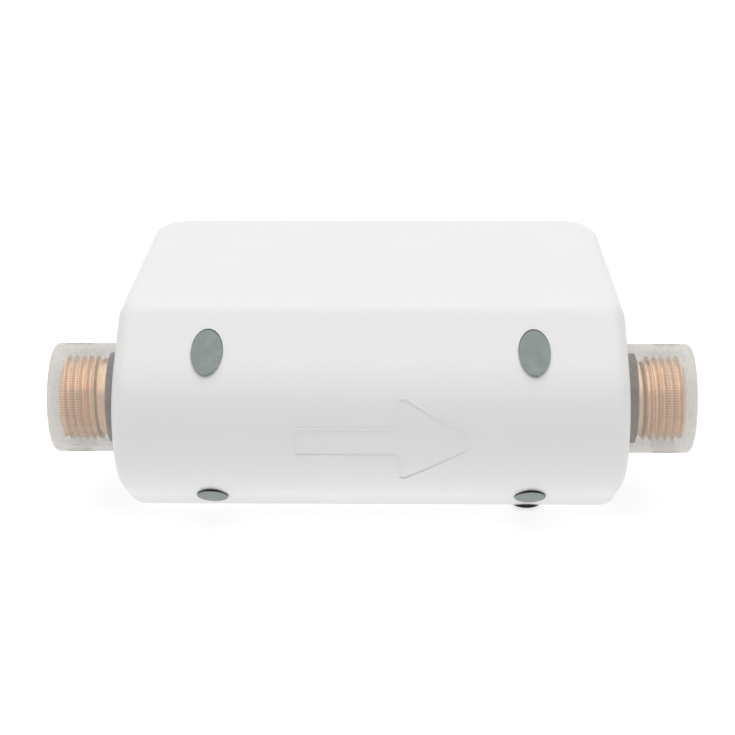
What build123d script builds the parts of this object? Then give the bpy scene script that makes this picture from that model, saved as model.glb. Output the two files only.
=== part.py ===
"""Motor-driven ball valve with two male pipe ends, in a two-part moulded casing with a round back.

Everything is drawn about the pipe: X runs along the flow, Y from the round back to the front panel, Z up,
with zero on the pipe's axis. place() then stands the whole part on its lower side wall."""
from build123d import *
from math import acos, atan2, cos, pi, radians, sin, sqrt, tan
import os

# Casing. Its length, height and depth are worked out below, from the drive inside it
NOSE_RADIUS = 21.5
NOSE_CENTRE = -6.4
FACET_TILT = radians(36.5)
CREASE_RADIUS = 9.0
END_RADIUS = 4.5
FRONT_CORNER = 10.0
SKIN = 2.4
SIDE_ROOM = 2.0
END_ROOM = 2.1
OVERRUN = 1.0
NEAR = 0.05
SEAM_LIP = 1.0
SEAM_LIP_ROOT = 7.0
SEAM_LIP_REACH = 2.0
SEAM_CLEARANCE = 0.12
SEAL_WIDTH = 1.0
SEAL_DEPTH = 0.8
SEAL_EDGE = 0.7

# Casing: saddles that hold the pipe
SADDLE_SPACE = 7.5
SADDLE_INSET = 9.0
SADDLE_WIDTH = 2.0
SADDLE_GAP = 0.15
SADDLE_REACH = 9.0
SADDLE_CLEARANCE = 0.05

# Casing: screw pockets, their plugs and screws
POCKET_END = 22.6
POCKET_SIDE = 8.1
PLUG_RADIUS = 3.8
PLUG_CLEARANCE = 0.05
PLUG_RECESS = 1.0
PLUG_DEPTH = 7.8
POCKET_WALL = 1.5
PLUG_STAND = 1.7
POCKET_FLOOR = 1.4
BOSS_GAP = 0.1
BOSS_RADIUS = 3.1
BOSS_PAST = 4.5
BOSS_WEB = 2.4
WEB_START = 2.4
CASE_SCREW_RADIUS = 1.5
CASE_SCREW_LENGTH = 12.0
CASE_HEAD_RADIUS = 2.7
CASE_HEAD_HEIGHT = 1.6
HOLE_CLEARANCE = 0.2
HEAD_CLEARANCE = 0.2
HEAD_EDGE_SHARE = 0.33
SCREW_TIP_SHARE = 0.5
CROSS_ARM_SHARE = 0.62
CROSS_WIDTH_SHARE = 0.14
CROSS_DEPTH_SHARE = 0.6

# Casing: gland for the power lead, in the lower wall
GLAND_RADIUS = 3.7
GLAND_Y = -4.6
GLAND_PAD_WALL = 1.4
GLAND_PAD_HEIGHT = 3.6
GLAND_RECESS = 0.6
GLAND_BORE = 1.9
GLAND_THROAT_SHARE = 1.6
GLAND_LIP = 0.6
GLAND_LIP_HEIGHT = 0.9

# Casing: flow arrow, a raised outline on the round back
ARROW_TAIL = -18.1
ARROW_NECK = 6.4
ARROW_SHOULDER = 2.0
ARROW_TIP = 22.9
ARROW_SHAFT_HALF = 3.7
ARROW_HEAD_HALF = 10.7
ARROW_TIP_HALF = 2.6
ARROW_CORNER = 1.0
ARROW_LINE = 0.55
ARROW_PROUD = 0.25

# Front: panel, push button and light ring
PANEL_END = 12.4
PANEL_SIDE = 8.0
PANEL_CORNER = 7.0
PANEL_THICK = 1.5
PANEL_EDGE = 0.35
PANEL_CLEARANCE = 0.15
PANEL_SUNK = 0.1
RING_INNER = 7.8
RING_OUTER = 9.8
RING_FLANGE = 1.4
RING_FLANGE_THICK = 1.0
RING_FIT = 0.1
BUTTON_GAP = 0.3
BUTTON_PROUD = 0.6
BUTTON_TRAVEL = 0.5
BUTTON_EDGE = 0.6
BUTTON_SKIRT = 1.2
BUTTON_DISH_RADIUS = 60.0
BUTTON_DISH_DEPTH = 0.3
BUTTON_FLANGE = 0.9
BUTTON_STEM_RADIUS = 2.0

# Circuit board and what stands on it
BOARD_SPACE = 5.5
BOARD_END = 11.4
BOARD_SIDE = 5.5
BOARD_CORNER = 2.0
BOARD_THICK = 1.6
POST_LENGTH = 7.7
POST_END = 6.0
POST_SIDE = 5.5
POST_RADIUS = 2.6
BOARD_SCREW_RADIUS = 1.1
BOARD_SCREW_LENGTH = 5.5
BOARD_HEAD_RADIUS = 2.0
BOARD_HEAD_HEIGHT = 1.3
SWITCH_SIZE = 6.2
SWITCH_HEIGHT = 2.4
PLUNGER_RADIUS = 1.7
PLUNGER_HEIGHT = 0.7
PLUNGER_SINK = 1.0
PLUNGER_GAP = 0.1
RADIO_X = -27.0
RADIO_BOARD = (18.0, 25.0, 0.8)
RADIO_CAN = (15.6, 17.4, 2.2)
RADIO_CAN_SHIFT = -2.8
RADIO_CAN_EDGE = 0.35
LED_SIZE = (2.0, 1.4, 0.9)
LED_COUNT = 4
HEADER_SPACE = 2.4
HEADER_SIZE = (7.0, 4.6, 5.4)
HEADER_DEPTH = 4.2
POWER_HEADER_EDGE = 0.2
MOTOR_HEADER_EDGE = 0.6
CAPACITOR_SPACE = 5.0
CAPACITOR_Z = 9.0
CAPACITOR_RADIUS = 4.0
CAPACITOR_LENGTH = 9.0
CAPACITOR_EDGE = 0.5
CHIP_SPACE = 3.0
CHIP_Z = -2.0
CHIP_SIZE = (6.0, 5.0, 1.5)
BUZZER_PLACE = (27.0, 0.0)
BUZZER_RADIUS = 4.5
BUZZER_HEIGHT = 3.0
BUZZER_HOLE = 0.8
BUZZER_HOLE_DEPTH = 0.8

# Pipe ends: half-inch parallel male thread
THREAD_MAJOR = 10.48
THREAD_PITCH = 1.814
THREAD_DEPTH = 1.162
THREAD_LENGTH = 11.5
THREAD_GAP = 0.2
THREAD_CHAMFER = 0.5
THREAD_FLAT_SHARE = 0.12
WATERWAY = 7.5
NECK_STEP = 0.88
NECK_GAP = 0.3
TUBE_STEP = 1.4
COLLAR_WIDTH = 5.0
COLLAR_STEP = 3.0

# Neck seals: rubber collars between pipe and casing
SEAL_COLLAR = 1.6
SEAL_FLANGE = 1.9
SEAL_FLANGE_THICK = 1.9
SEAL_PROUD = 3.7

# Protective caps on the pipe ends
CAP_WALL = 1.35
CAP_END_WALL = 1.6
CAP_GAP = 0.4
CAP_END_ROOM = 0.65
CAP_EDGE = 1.3
CAP_FINS = 12
CAP_FIN_WIDTH = 0.9
CAP_FIN_HEIGHT = 1.6
CAP_FIN_LEAD = 1.7
CAP_FIN_ROOT = 0.3
CAP_FIT = 0.14

# Valve body, ball, seats and stem
BALL_RADIUS = 11.5
BALL_FIT = 0.05
BALL_ROOM = 1.1
BODY_WALL = 3.9
BODY_HALF = 17.0
SEAT_ROOM = 0.1
SEAT_CONTACT = 1.0
SEAT_RADIAL_GAP = 0.1
BONNET_RADIUS = 10.5
BONNET_RISE = 7.5
FLANGE_THICK = 4.0
FLANGE_HALF = 16.5
FLANGE_CORNER = 4.0
STEM_RADIUS = 4.0
STEM_FIT = 0.05
STEM_FLAT = 3.1
STEM_RISE = 2.1
STEM_COLLAR_RADIUS = 5.5
STEM_COLLAR_RISE = 0.7
STEM_COLLAR_THICK = 1.6
STEM_COLLAR_GAP = 0.15
TANG_HALF_LENGTH = 4.2
TANG_HALF_WIDTH = 1.5
TANG_DEPTH = 2.1
SLOT_CLEARANCE = 0.1
RING_START = 2.6
RING_SPACING = 3.2
RING_SECTION = 0.72
RING_GROOVE = 1.9
RING_GROOVE_DEPTH = 1.45
GLAND_NUT_RADIUS = 7.0
GLAND_NUT_DEPTH = 5.6
GLAND_NUT_FLATS = 15.0
GLAND_NUT_HEAD = 3.0

# Gearbox housing on the valve's flange
TRAY_CORNER = 5.0
TRAY_WALL = 1.6
TRAY_FLOOR_THICK = 2.0
GEAR_ROOM = 1.15
FIRST_ROOM = 0.47
LIMIT_ROOM = 1.0
COVER_GAP = 1.3
COVER_THICK = 1.5
PILLAR_LENGTH = 7.0
PILLAR_INSET = 4.5
PILLAR_RADIUS = 4.0
DRIVE_SCREW_RADIUS = 1.5
DRIVE_SCREW_SHORT = 1.2
DRIVE_HEAD_RADIUS = 2.7
DRIVE_HEAD_HEIGHT = 1.8
DRIVE_HEAD_SINK = 2.3
COVER_POST_RADIUS = 2.4
COVER_POST_INSET = 3.2
COVER_POST_END = 3.7
COVER_POST_LOW = 5.6
COVER_SCREW_RADIUS = 1.1
COVER_SCREW_LENGTH = 6.0
COVER_HEAD_RADIUS = 2.0
COVER_HEAD_HEIGHT = 1.2

# Gear train: teeth, modules and levels along Y
PRESSURE = radians(20)
TIP_SHARE = 0.85
ROOT_SHARE = 1.2
BACKLASH = 0.16
UNDERCUT_SHARE = 0.35
KNEE_SHARE = 0.2
GEAR_GAP = 0.4
OUTPUT_MODULE = 1.0
OUTPUT_TEETH = 38
OUTPUT_PINION_TEETH = 10
MIDDLE_MODULE = 0.8
MIDDLE_TEETH = 36
MIDDLE_PINION_TEETH = 10
FIRST_MODULE = 0.6
FIRST_TEETH = 40
MOTOR_TEETH = 10
OUTPUT_WIDTH = 4.0
MIDDLE_WIDTH = 2.8
FIRST_WIDTH = 2.2
CAM_SPACE = 1.52
CAM_STEP = 1.0
CAM_LOBE_RISE = 3.0
CAM_LOBE_HALF = 1.6
CAM_HEIGHT = 2.6
HUB_RISE = 0.5
PIN_RADIUS = 1.3
PIN_FIT = 0.05
PIN_SINK = 1.2
HUB_STEP = 0.24
FIRST_AXIS_RISE = 1.75
MOTOR_BEARING = radians(75.8)

# Motor with its reduction head
MOTOR_WIDTH = 10.0
MOTOR_HEIGHT = 12.0
MOTOR_ROUND = 4.6
MOTOR_LENGTH = 24.2
END_CAP_LENGTH = 2.0
HEAD_LENGTH = 9.0
SHAFT_SINK = 3.0
HEAD_PLATE = 0.8
HEAD_PILLAR = 0.8
REDUCTION_STAGES = 2
MOTOR_SHAFT = 1.5
MOTOR_BUSH = 2.2
MOTOR_BUSH_LENGTH = 1.0
TERMINAL = (0.5, 1.6, 2.0)
TERMINAL_SPREAD = 3.4
MOTOR_SCREW_SPREAD = 4.4
MOTOR_SCREW_RADIUS = 0.8
MOTOR_HEAD_RADIUS = 1.5
MOTOR_HEAD_HEIGHT = 0.9

# Limit switches beside the cam
LIMIT_LENGTH = 12.8
LIMIT_HEIGHT = 5.8
LIMIT_LEVER = 0.4
LIMIT_LEVER_WIDTH = 2.2
LIMIT_LEVER_GAP = 1.6
LIMIT_SPACE = 1.4
LIMIT_TOE = 1.2
CAM_CLEARANCE = 0.35

# Internal leads
LEAD_RADIUS = 0.55
LEAD_FIT = 0.1
LEAD_SPREAD = 1.9
LEAD_TURN_LEVEL = 5.6
LEAD_SIDE = -21.2
LEAD_RUN_LEVEL = 18.0
LEAD_RISE_LEVEL = 34.0
LEAD_BENDS = [2.4, 2.8, 4.0, 6.0, 6.0]
SWITCH_LEAD_BEND = 2.0
SWITCH_LEAD_DROP = 1.2

# Worked out from the values above: the valve, from the ball outwards
CAVITY_RADIUS = BALL_RADIUS + BALL_ROOM
BODY_RADIUS = CAVITY_RADIUS + BODY_WALL
SEAT_PLACE = BALL_RADIUS + SEAT_ROOM
FLANGE_BACK = BODY_RADIUS + BONNET_RISE
FLANGE_FACE = FLANGE_BACK + FLANGE_THICK
STEM_COLLAR_START = BALL_RADIUS + STEM_COLLAR_RISE
STEM_COLLAR_END = STEM_COLLAR_START + STEM_COLLAR_THICK
TANG_START = BALL_RADIUS - TANG_DEPTH
RING_PLACES = (STEM_COLLAR_END + RING_START, STEM_COLLAR_END + RING_START + RING_SPACING)
GLAND_NUT_START = FLANGE_FACE - GLAND_NUT_DEPTH

# Worked out: levels of the drive, from the valve's flange to the circuit board and the front
TRAY_UNDER = FLANGE_FACE + PILLAR_LENGTH
TRAY_FLOOR = TRAY_UNDER + TRAY_FLOOR_THICK
DRIVE_HEAD_SEAT = TRAY_FLOOR - DRIVE_HEAD_SINK
DRIVE_SCREW_LENGTH = DRIVE_HEAD_SEAT - FLANGE_BACK - DRIVE_SCREW_SHORT
OUTPUT_LEVEL = TRAY_FLOOR + GEAR_GAP
MIDDLE_LEVEL = OUTPUT_LEVEL + OUTPUT_WIDTH + GEAR_GAP
FIRST_LEVEL = MIDDLE_LEVEL + MIDDLE_WIDTH + GEAR_GAP
CAM_LEVEL = OUTPUT_LEVEL + OUTPUT_WIDTH + HUB_RISE
STEM_TOP = CAM_LEVEL + CAM_HEIGHT + STEM_RISE
TRAY_TOP = FIRST_LEVEL + FIRST_WIDTH + COVER_GAP
MOTOR_BACK = TRAY_UNDER - MOTOR_LENGTH
BOARD_BACK = TRAY_TOP + COVER_THICK + BOARD_SPACE
BOARD_FACE = BOARD_BACK + BOARD_THICK
FRONT_WALL_INNER = BOARD_FACE + POST_LENGTH
FRONT_FACE = FRONT_WALL_INNER + SKIN
PANEL_FACE = FRONT_FACE - PANEL_SUNK
PANEL_FLOOR = PANEL_FACE - PANEL_THICK
BUTTON_RADIUS = RING_INNER - BUTTON_GAP
BUTTON_FACE = FRONT_FACE + BUTTON_PROUD

# Worked out: places of the gear axes, the cam and the limit switches
MIDDLE_X = OUTPUT_MODULE * (OUTPUT_TEETH + OUTPUT_PINION_TEETH) / 2
MIDDLE_REACH = MIDDLE_MODULE * (MIDDLE_TEETH + MIDDLE_PINION_TEETH) / 2
FIRST_REACH = FIRST_MODULE * (FIRST_TEETH + MOTOR_TEETH) / 2
FIRST_X = MIDDLE_X + sqrt(MIDDLE_REACH**2 - FIRST_AXIS_RISE**2)
FIRST_Z = FIRST_AXIS_RISE
MOTOR_X = FIRST_X + FIRST_REACH * cos(MOTOR_BEARING)
MOTOR_Z = FIRST_Z - FIRST_REACH * sin(MOTOR_BEARING)
OUTPUT_TIP = OUTPUT_MODULE * (OUTPUT_TEETH / 2 + TIP_SHARE)
MIDDLE_TIP = MIDDLE_MODULE * (MIDDLE_TEETH / 2 + TIP_SHARE)
FIRST_TIP = FIRST_MODULE * (FIRST_TEETH / 2 + TIP_SHARE)
GEAR_HUB = MIDDLE_MODULE * (MIDDLE_PINION_TEETH / 2 - ROOT_SHARE) - HUB_STEP
CAM_RADIUS = MIDDLE_X - MIDDLE_TIP - CAM_SPACE
HUB_RADIUS = CAM_RADIUS - CAM_STEP
LOBE_REACH = (CAM_RADIUS + CAM_LOBE_RISE - CAM_LOBE_HALF) / sqrt(2)
LIMIT_INNER = LOBE_REACH + CAM_LOBE_HALF + CAM_CLEARANCE + LIMIT_LEVER + LIMIT_LEVER_GAP
LIMIT_Z = LIMIT_INNER + LIMIT_HEIGHT / 2

# Worked out: the tray round the drive, and the casing round the tray
POST_LINE = LIMIT_INNER + LIMIT_HEIGHT + LIMIT_ROOM + COVER_POST_RADIUS
TRAY_HALF = max(OUTPUT_TIP + GEAR_ROOM + TRAY_WALL, POST_LINE + COVER_POST_INSET)
TRAY_LEFT = -TRAY_HALF
TRAY_RIGHT = FIRST_X + FIRST_TIP + FIRST_ROOM + TRAY_WALL
LIMIT_X = TRAY_LEFT + TRAY_WALL + LIMIT_SPACE + LIMIT_LENGTH / 2
WALL_HALF = TRAY_HALF + SIDE_ROOM + SKIN
END_WALL = TRAY_RIGHT + END_ROOM
HALF_LENGTH = END_WALL + SKIN
NOSE_REACH = NOSE_RADIUS - NOSE_CENTRE
POCKET_X = HALF_LENGTH - POCKET_END
POCKET_Z = WALL_HALF - POCKET_SIDE
POCKET_MOUTH = NOSE_CENTRE - (NOSE_RADIUS - POCKET_Z * cos(FACET_TILT)) / sin(FACET_TILT)
PLUG_SEAT = POCKET_MOUTH + PLUG_DEPTH
SCREW_SEAT = PLUG_SEAT + PLUG_STAND
BOSS_FACE = SCREW_SEAT + POCKET_FLOOR + BOSS_GAP
BOSS_END = SCREW_SEAT + CASE_SCREW_LENGTH + BOSS_PAST
SADDLE_PLACES = (BODY_HALF + COLLAR_WIDTH + SADDLE_SPACE, END_WALL - SADDLE_INSET)

# Worked out: panel, circuit board, and the blocks beside the tray
PANEL_LENGTH = 2 * (HALF_LENGTH - PANEL_END)
PANEL_HEIGHT = 2 * (WALL_HALF - PANEL_SIDE)
BOARD_LENGTH = 2 * (HALF_LENGTH - BOARD_END)
BOARD_HEIGHT = 2 * (WALL_HALF - BOARD_SIDE)
POST_X = BOARD_LENGTH / 2 - POST_END
POST_Z = BOARD_HEIGHT / 2 - POST_SIDE
HEADER_EDGE = TRAY_LEFT - HEADER_SPACE - HEADER_SIZE[0]
HEADER_X = HEADER_EDGE + HEADER_SIZE[0] / 2
POWER_HEADER_Z = (BOARD_HEIGHT - HEADER_SIZE[1]) / 2 - POWER_HEADER_EDGE
MOTOR_HEADER_Z = MOTOR_HEADER_EDGE - (BOARD_HEIGHT - HEADER_SIZE[1]) / 2
CAPACITOR_PLACE = (HEADER_EDGE - CAPACITOR_SPACE - CAPACITOR_RADIUS, CAPACITOR_Z)
CHIP_PLACE = (HEADER_EDGE - CHIP_SPACE - CHIP_SIZE[0] / 2, CHIP_Z)

# Worked out: pipe ends, their seals and caps
SEAL_START = END_WALL - SEAL_FLANGE_THICK
SEAL_END = HALF_LENGTH + SEAL_PROUD
NECK_START = SEAL_START - NECK_GAP
NECK_RADIUS = THREAD_MAJOR - NECK_STEP
TUBE_RADIUS = NECK_RADIUS + TUBE_STEP
COLLAR_FLATS = 2 * (TUBE_RADIUS + COLLAR_STEP)
THREAD_START = SEAL_END + THREAD_GAP
PIPE_END = THREAD_START + THREAD_LENGTH
CAP_RADIUS = THREAD_MAJOR + CAP_FIT + CAP_FIN_HEIGHT + CAP_WALL
CAP_START = HALF_LENGTH + CAP_GAP
CAP_FIN_START = THREAD_START + CAP_FIN_LEAD
CAP_END = PIPE_END + CAP_END_ROOM + CAP_END_WALL


def bar_x(radius, start, end, y=0, z=0):
    """A round bar along the pipe, from start to end."""
    return Pos((start + end) / 2, y, z) * Rot(0, 90, 0) * Cylinder(radius, abs(end - start))


def bar_y(radius, start, end, x=0, z=0):
    """A round bar from back to front, from start to end."""
    return Pos(x, (start + end) / 2, z) * Rot(90, 0, 0) * Cylinder(radius, abs(end - start))


def bar_z(radius, start, end, x=0, y=0):
    """An upright round bar, from start to end."""
    return Pos(x, y, (start + end) / 2) * Cylinder(radius, abs(end - start))


def block(x, y, z):
    """A box between two values on each axis."""
    middle = Pos((x[0] + x[1]) / 2, (y[0] + y[1]) / 2, (z[0] + z[1]) / 2)
    return middle * Box(abs(x[1] - x[0]), abs(y[1] - y[0]), abs(z[1] - z[0]))


def slab(length, height, corner, start, end, x=0, z=0):
    """A plate with rounded corners that faces the front."""
    outline = RectangleRounded(length, height, corner)
    return extrude(Plane((x, start, z), x_dir=(1, 0, 0), z_dir=(0, 1, 0)) * outline, end - start)


def hexagon_x(flats, start, end):
    """A hexagonal bar along the pipe."""
    return extrude(Plane.YZ.offset(start) * RegularPolygon(flats / 2, 6, major_radius=False), end - start)


def hexagon_y(flats, start, end):
    """A hexagonal bar from back to front."""
    plane = Plane((0, start, 0), x_dir=(1, 0, 0), z_dir=(0, 1, 0))
    return extrude(plane * RegularPolygon(flats / 2, 6, major_radius=False), end - start)


def screw(seat, direction, radius, length, head_radius, head_height, x=0, z=0):
    """A screw along Y whose head lies on the seat and whose shank runs in the given direction."""
    shank = bar_y(radius, seat, seat + direction * (length - radius), x, z)
    tip_plane = Plane((x, seat + direction * (length - radius), z), x_dir=(1, 0, 0), z_dir=(0, direction, 0))
    tip = tip_plane * Pos(0, 0, radius / 2) * Cone(radius, radius * SCREW_TIP_SHARE, radius)
    head = bar_y(head_radius, seat - direction * head_height, seat, x, z)
    top = head.edges().group_by(Axis.Y)[0 if direction > 0 else -1]
    head = fillet(top, head_height * HEAD_EDGE_SHARE)
    arm, deep = head_radius * CROSS_ARM_SHARE, head_height * CROSS_DEPTH_SHARE
    surface = seat - direction * head_height
    slot_half = head_radius * CROSS_WIDTH_SHARE
    y_span = (surface - direction * OVERRUN, surface + direction * deep)
    cross = block((x - arm, x + arm), y_span, (z - slot_half, z + slot_half))
    cross += block((x - slot_half, x + slot_half), y_span, (z - arm, z + arm))
    return shank + tip + head - cross


# Casing


def crease_place(half, nose):
    """Where the flat wall meets the inclined facet."""
    return NOSE_CENTRE - (nose - half * cos(FACET_TILT)) / sin(FACET_TILT)


def lies_on(edge, axis, level):
    """Whether all of an edge lies on one flat face, at the level or at its mirror place."""
    box = edge.bounding_box()
    start, end = getattr(box.min, axis), getattr(box.max, axis)
    return end - start < NEAR and abs(abs(start) - level) < NEAR


def rim_edges(solid, half_length, half, corner_start):
    """The outer edges of both ends and of the front, round whose corners they run on."""
    rim = []
    for edge in solid.edges():
        box = edge.bounding_box()
        on_end = lies_on(edge, "X", half_length) and box.min.Y < corner_start - NEAR
        on_front = lies_on(edge, "Z", half) and box.max.Y > corner_start - NEAR
        if on_end or on_front:
            rim.append(edge)
    return rim


def casing_form(inset, front):
    """The casing's closed outer form, drawn in by inset, with its front face at front."""
    half, nose = WALL_HALF - inset, NOSE_RADIUS - inset
    half_length, corner = HALF_LENGTH - inset, FRONT_CORNER - inset
    crease = crease_place(half, nose)
    touch = (NOSE_CENTRE - nose * sin(FACET_TILT), nose * cos(FACET_TILT))
    corners = [(front, half), (crease, half), touch]
    below = [(y, -z) for y, z in corners[::-1]]
    arc = ThreePointArc(touch, (NOSE_CENTRE - nose, 0), (touch[0], -touch[1]))
    section = make_face(Curve() + [Polyline(*corners), arc, Polyline(*below), Line(below[-1], corners[0])])
    soft = [v for v in section.vertices() if abs(v.X - crease) < NEAR]
    section = fillet(soft, CREASE_RADIUS - inset)
    solid = extrude(Plane.YZ * section, half_length, both=True)
    ends = [e for e in solid.edges() if lies_on(e, "X", half_length)]
    upright = [e for e in ends if e.bounding_box().min.Y > front - NEAR]
    solid = fillet(upright, corner)
    return fillet(rim_edges(solid, half_length, half, front - corner), END_RADIUS - inset)


def half_space(front_side):
    """A box that takes everything in front of, or behind, the seam."""
    reach = 2 * HALF_LENGTH
    span = (0, reach) if front_side else (-reach, 0)
    return block((-reach, reach), span, (-reach, reach))


def pocket_places():
    return [(sx * POCKET_X, sz * POCKET_Z) for sx in (-1, 1) for sz in (-1, 1)]


def saddles(front_side):
    """Bulkheads that stop at the seam and hold the pipe in a half-round cut."""
    span = (SADDLE_GAP, SADDLE_REACH) if front_side else (-NOSE_REACH, -SADDLE_GAP)
    wide = WALL_HALF - SKIN / 2
    plates = []
    for place in SADDLE_PLACES:
        for side in (-1, 1):
            x = side * place
            plates.append(block((x - SADDLE_WIDTH / 2, x + SADDLE_WIDTH / 2), span, (-wide, wide)))
    return plates


def arrow_ridge():
    """The flow arrow's outline, raised on the round back."""
    half = [
        (ARROW_TAIL, ARROW_SHAFT_HALF),
        (ARROW_NECK, ARROW_SHAFT_HALF),
        (ARROW_NECK, ARROW_HEAD_HALF),
        (ARROW_NECK + ARROW_SHOULDER, ARROW_HEAD_HALF),
        (ARROW_TIP, ARROW_TIP_HALF),
    ]
    points = half + [(x, -z) for x, z in half[::-1]]
    outline = make_face(Polyline(*points, points[0]))
    outline = fillet(outline.vertices(), ARROW_CORNER)
    line = outline - offset(outline, -ARROW_LINE)
    plane = Plane((0, -NOSE_REACH - OVERRUN, 0), x_dir=(1, 0, 0), z_dir=(0, 1, 0))
    drawn = extrude(plane * line, NOSE_RADIUS)
    proud = bar_x(NOSE_RADIUS + ARROW_PROUD, -HALF_LENGTH, HALF_LENGTH, y=NOSE_CENTRE)
    return drawn & proud


def seam_ring(outer_inset, width, start, end):
    """A ring that follows the casing's outline at the seam."""

    def outline(inset):
        size = (2 * (HALF_LENGTH - inset), 2 * (WALL_HALF - inset))
        return slab(*size, END_RADIUS - inset, start, end)

    return outline(outer_inset) - outline(outer_inset + width)


def neck_cuts():
    """Room in both shells for the pipe, its rubber collars and their flanges."""
    wide = NECK_RADIUS + SEAL_COLLAR + SEAL_FLANGE
    cut = bar_x(TUBE_RADIUS + SADDLE_CLEARANCE, -NECK_START, NECK_START)
    cut += bar_x(NECK_RADIUS + SEAL_COLLAR, -HALF_LENGTH - OVERRUN, HALF_LENGTH + OVERRUN)
    return cut + bar_x(wide, SEAL_START, END_WALL) + bar_x(wide, -END_WALL, -SEAL_START)


def back_shell(outer, inner):
    """The round half: skin, saddles, screw pockets, pad for the lead gland, seam lip and arrow."""
    behind = outer & half_space(False)
    pad = bar_z(GLAND_RADIUS + GLAND_PAD_WALL, -WALL_HALF, -WALL_HALF + GLAND_PAD_HEIGHT, POCKET_X, GLAND_Y)
    body = (outer - inner) & half_space(False)
    for piece in saddles(False) + [pad]:
        body += piece & behind
    for x, z in pocket_places():
        floor = SCREW_SEAT + POCKET_FLOOR
        body += bar_y(PLUG_RADIUS + POCKET_WALL, -NOSE_REACH, floor, x, z) & behind
    body += seam_ring(SKIN + SEAM_CLEARANCE, SEAM_LIP, -SEAM_LIP_ROOT, SEAM_LIP_REACH) & inner
    body -= seam_ring(SEAL_EDGE, SEAL_WIDTH, -SEAL_DEPTH, OVERRUN)
    for x, z in pocket_places():
        body -= bar_y(PLUG_RADIUS, -NOSE_REACH - OVERRUN, PLUG_SEAT, x, z)
        body -= bar_y(CASE_HEAD_RADIUS + HEAD_CLEARANCE, PLUG_SEAT - OVERRUN, SCREW_SEAT, x, z)
        body -= bar_y(CASE_SCREW_RADIUS + HOLE_CLEARANCE, SCREW_SEAT - OVERRUN, SEAM_LIP_REACH, x, z)
    body -= neck_cuts()
    pad_top = -WALL_HALF + GLAND_PAD_HEIGHT
    body -= bar_z(GLAND_RADIUS, -WALL_HALF - OVERRUN, pad_top, POCKET_X, GLAND_Y)
    lip_room = GLAND_RADIUS + GLAND_LIP
    body -= bar_z(lip_room, pad_top, pad_top + GLAND_LIP_HEIGHT, POCKET_X, GLAND_Y)
    return body + (arrow_ridge() - outer)


def front_shell(outer, inner):
    """The deep half: skin, saddles, screw bosses, board posts, panel recess and ring hole."""
    before = outer & half_space(True)
    body = (outer - inner) & half_space(True)
    for piece in saddles(True):
        body += piece & before
    for x, z in pocket_places():
        wall = (WALL_HALF - SKIN / 2) * z / abs(z)
        body += bar_y(BOSS_RADIUS, BOSS_FACE, BOSS_END, x, z)
        web = (x - BOSS_WEB / 2, x + BOSS_WEB / 2)
        body += block(web, (WEB_START, BOSS_END), (z, wall))
        tip = SCREW_SEAT + CASE_SCREW_LENGTH + HOLE_CLEARANCE
        body -= bar_y(CASE_SCREW_RADIUS, BOSS_FACE - OVERRUN, tip, x, z)
    body -= seam_ring(SKIN, SEAM_LIP + 2 * SEAM_CLEARANCE, -OVERRUN, SEAM_LIP_REACH + SEAM_CLEARANCE)
    for x, z in post_places():
        body += bar_y(POST_RADIUS, BOARD_FACE, FRONT_FACE - SKIN / 2, x, z)
        tip = BOARD_BACK + BOARD_SCREW_LENGTH + HOLE_CLEARANCE
        body -= bar_y(BOARD_SCREW_RADIUS, BOARD_FACE - OVERRUN, tip, x, z)
    body -= neck_cuts()
    length, height = PANEL_LENGTH + 2 * PANEL_CLEARANCE, PANEL_HEIGHT + 2 * PANEL_CLEARANCE
    body -= slab(length, height, PANEL_CORNER + PANEL_CLEARANCE, PANEL_FLOOR, FRONT_FACE + OVERRUN)
    return body - bar_y(RING_OUTER + RING_FIT, FRONT_WALL_INNER - OVERRUN, FRONT_FACE + OVERRUN)


def shell_seal():
    """The rubber cord in the groove at the seam, in two runs between the pipe collars."""
    return seam_ring(SEAL_EDGE, SEAL_WIDTH, -SEAL_DEPTH, 0) - neck_cuts()


def screw_plugs():
    """Rubber plugs over the case screws, with faces that follow the casing a little below it."""
    face = casing_form(PLUG_RECESS, FRONT_FACE)
    plugs = []
    for x, z in pocket_places():
        bar = bar_y(PLUG_RADIUS - PLUG_CLEARANCE, -NOSE_REACH, PLUG_SEAT, x, z)
        plugs.append(bar & face)
    return plugs


def case_screws():
    size = (CASE_SCREW_RADIUS, CASE_SCREW_LENGTH, CASE_HEAD_RADIUS, CASE_HEAD_HEIGHT)
    return [screw(SCREW_SEAT, 1, *size, x, z) for x, z in pocket_places()]


def lead_gland():
    """The rubber gland for the power lead: a recessed collar, an inner lip and a bore."""
    low, top = -WALL_HALF + GLAND_RECESS, -WALL_HALF + GLAND_PAD_HEIGHT
    body = bar_z(GLAND_RADIUS, low, top, POCKET_X, GLAND_Y)
    body += bar_z(GLAND_RADIUS + GLAND_LIP, top, top + GLAND_LIP_HEIGHT, POCKET_X, GLAND_Y)
    funnel = Cone(GLAND_BORE * GLAND_THROAT_SHARE, GLAND_BORE, GLAND_BORE)
    throat = Pos(POCKET_X, GLAND_Y, low + GLAND_BORE / 2) * funnel
    return body - bar_z(GLAND_BORE, low - OVERRUN, top + OVERRUN, POCKET_X, GLAND_Y) - throat


# Front


def front_panel():
    plate = slab(PANEL_LENGTH, PANEL_HEIGHT, PANEL_CORNER, PANEL_FLOOR, PANEL_FACE)
    plate = fillet(plate.edges().group_by(Axis.Y)[-1], PANEL_EDGE)
    return plate - bar_y(RING_OUTER + RING_FIT, PANEL_FLOOR - OVERRUN, PANEL_FACE + OVERRUN)


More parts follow.
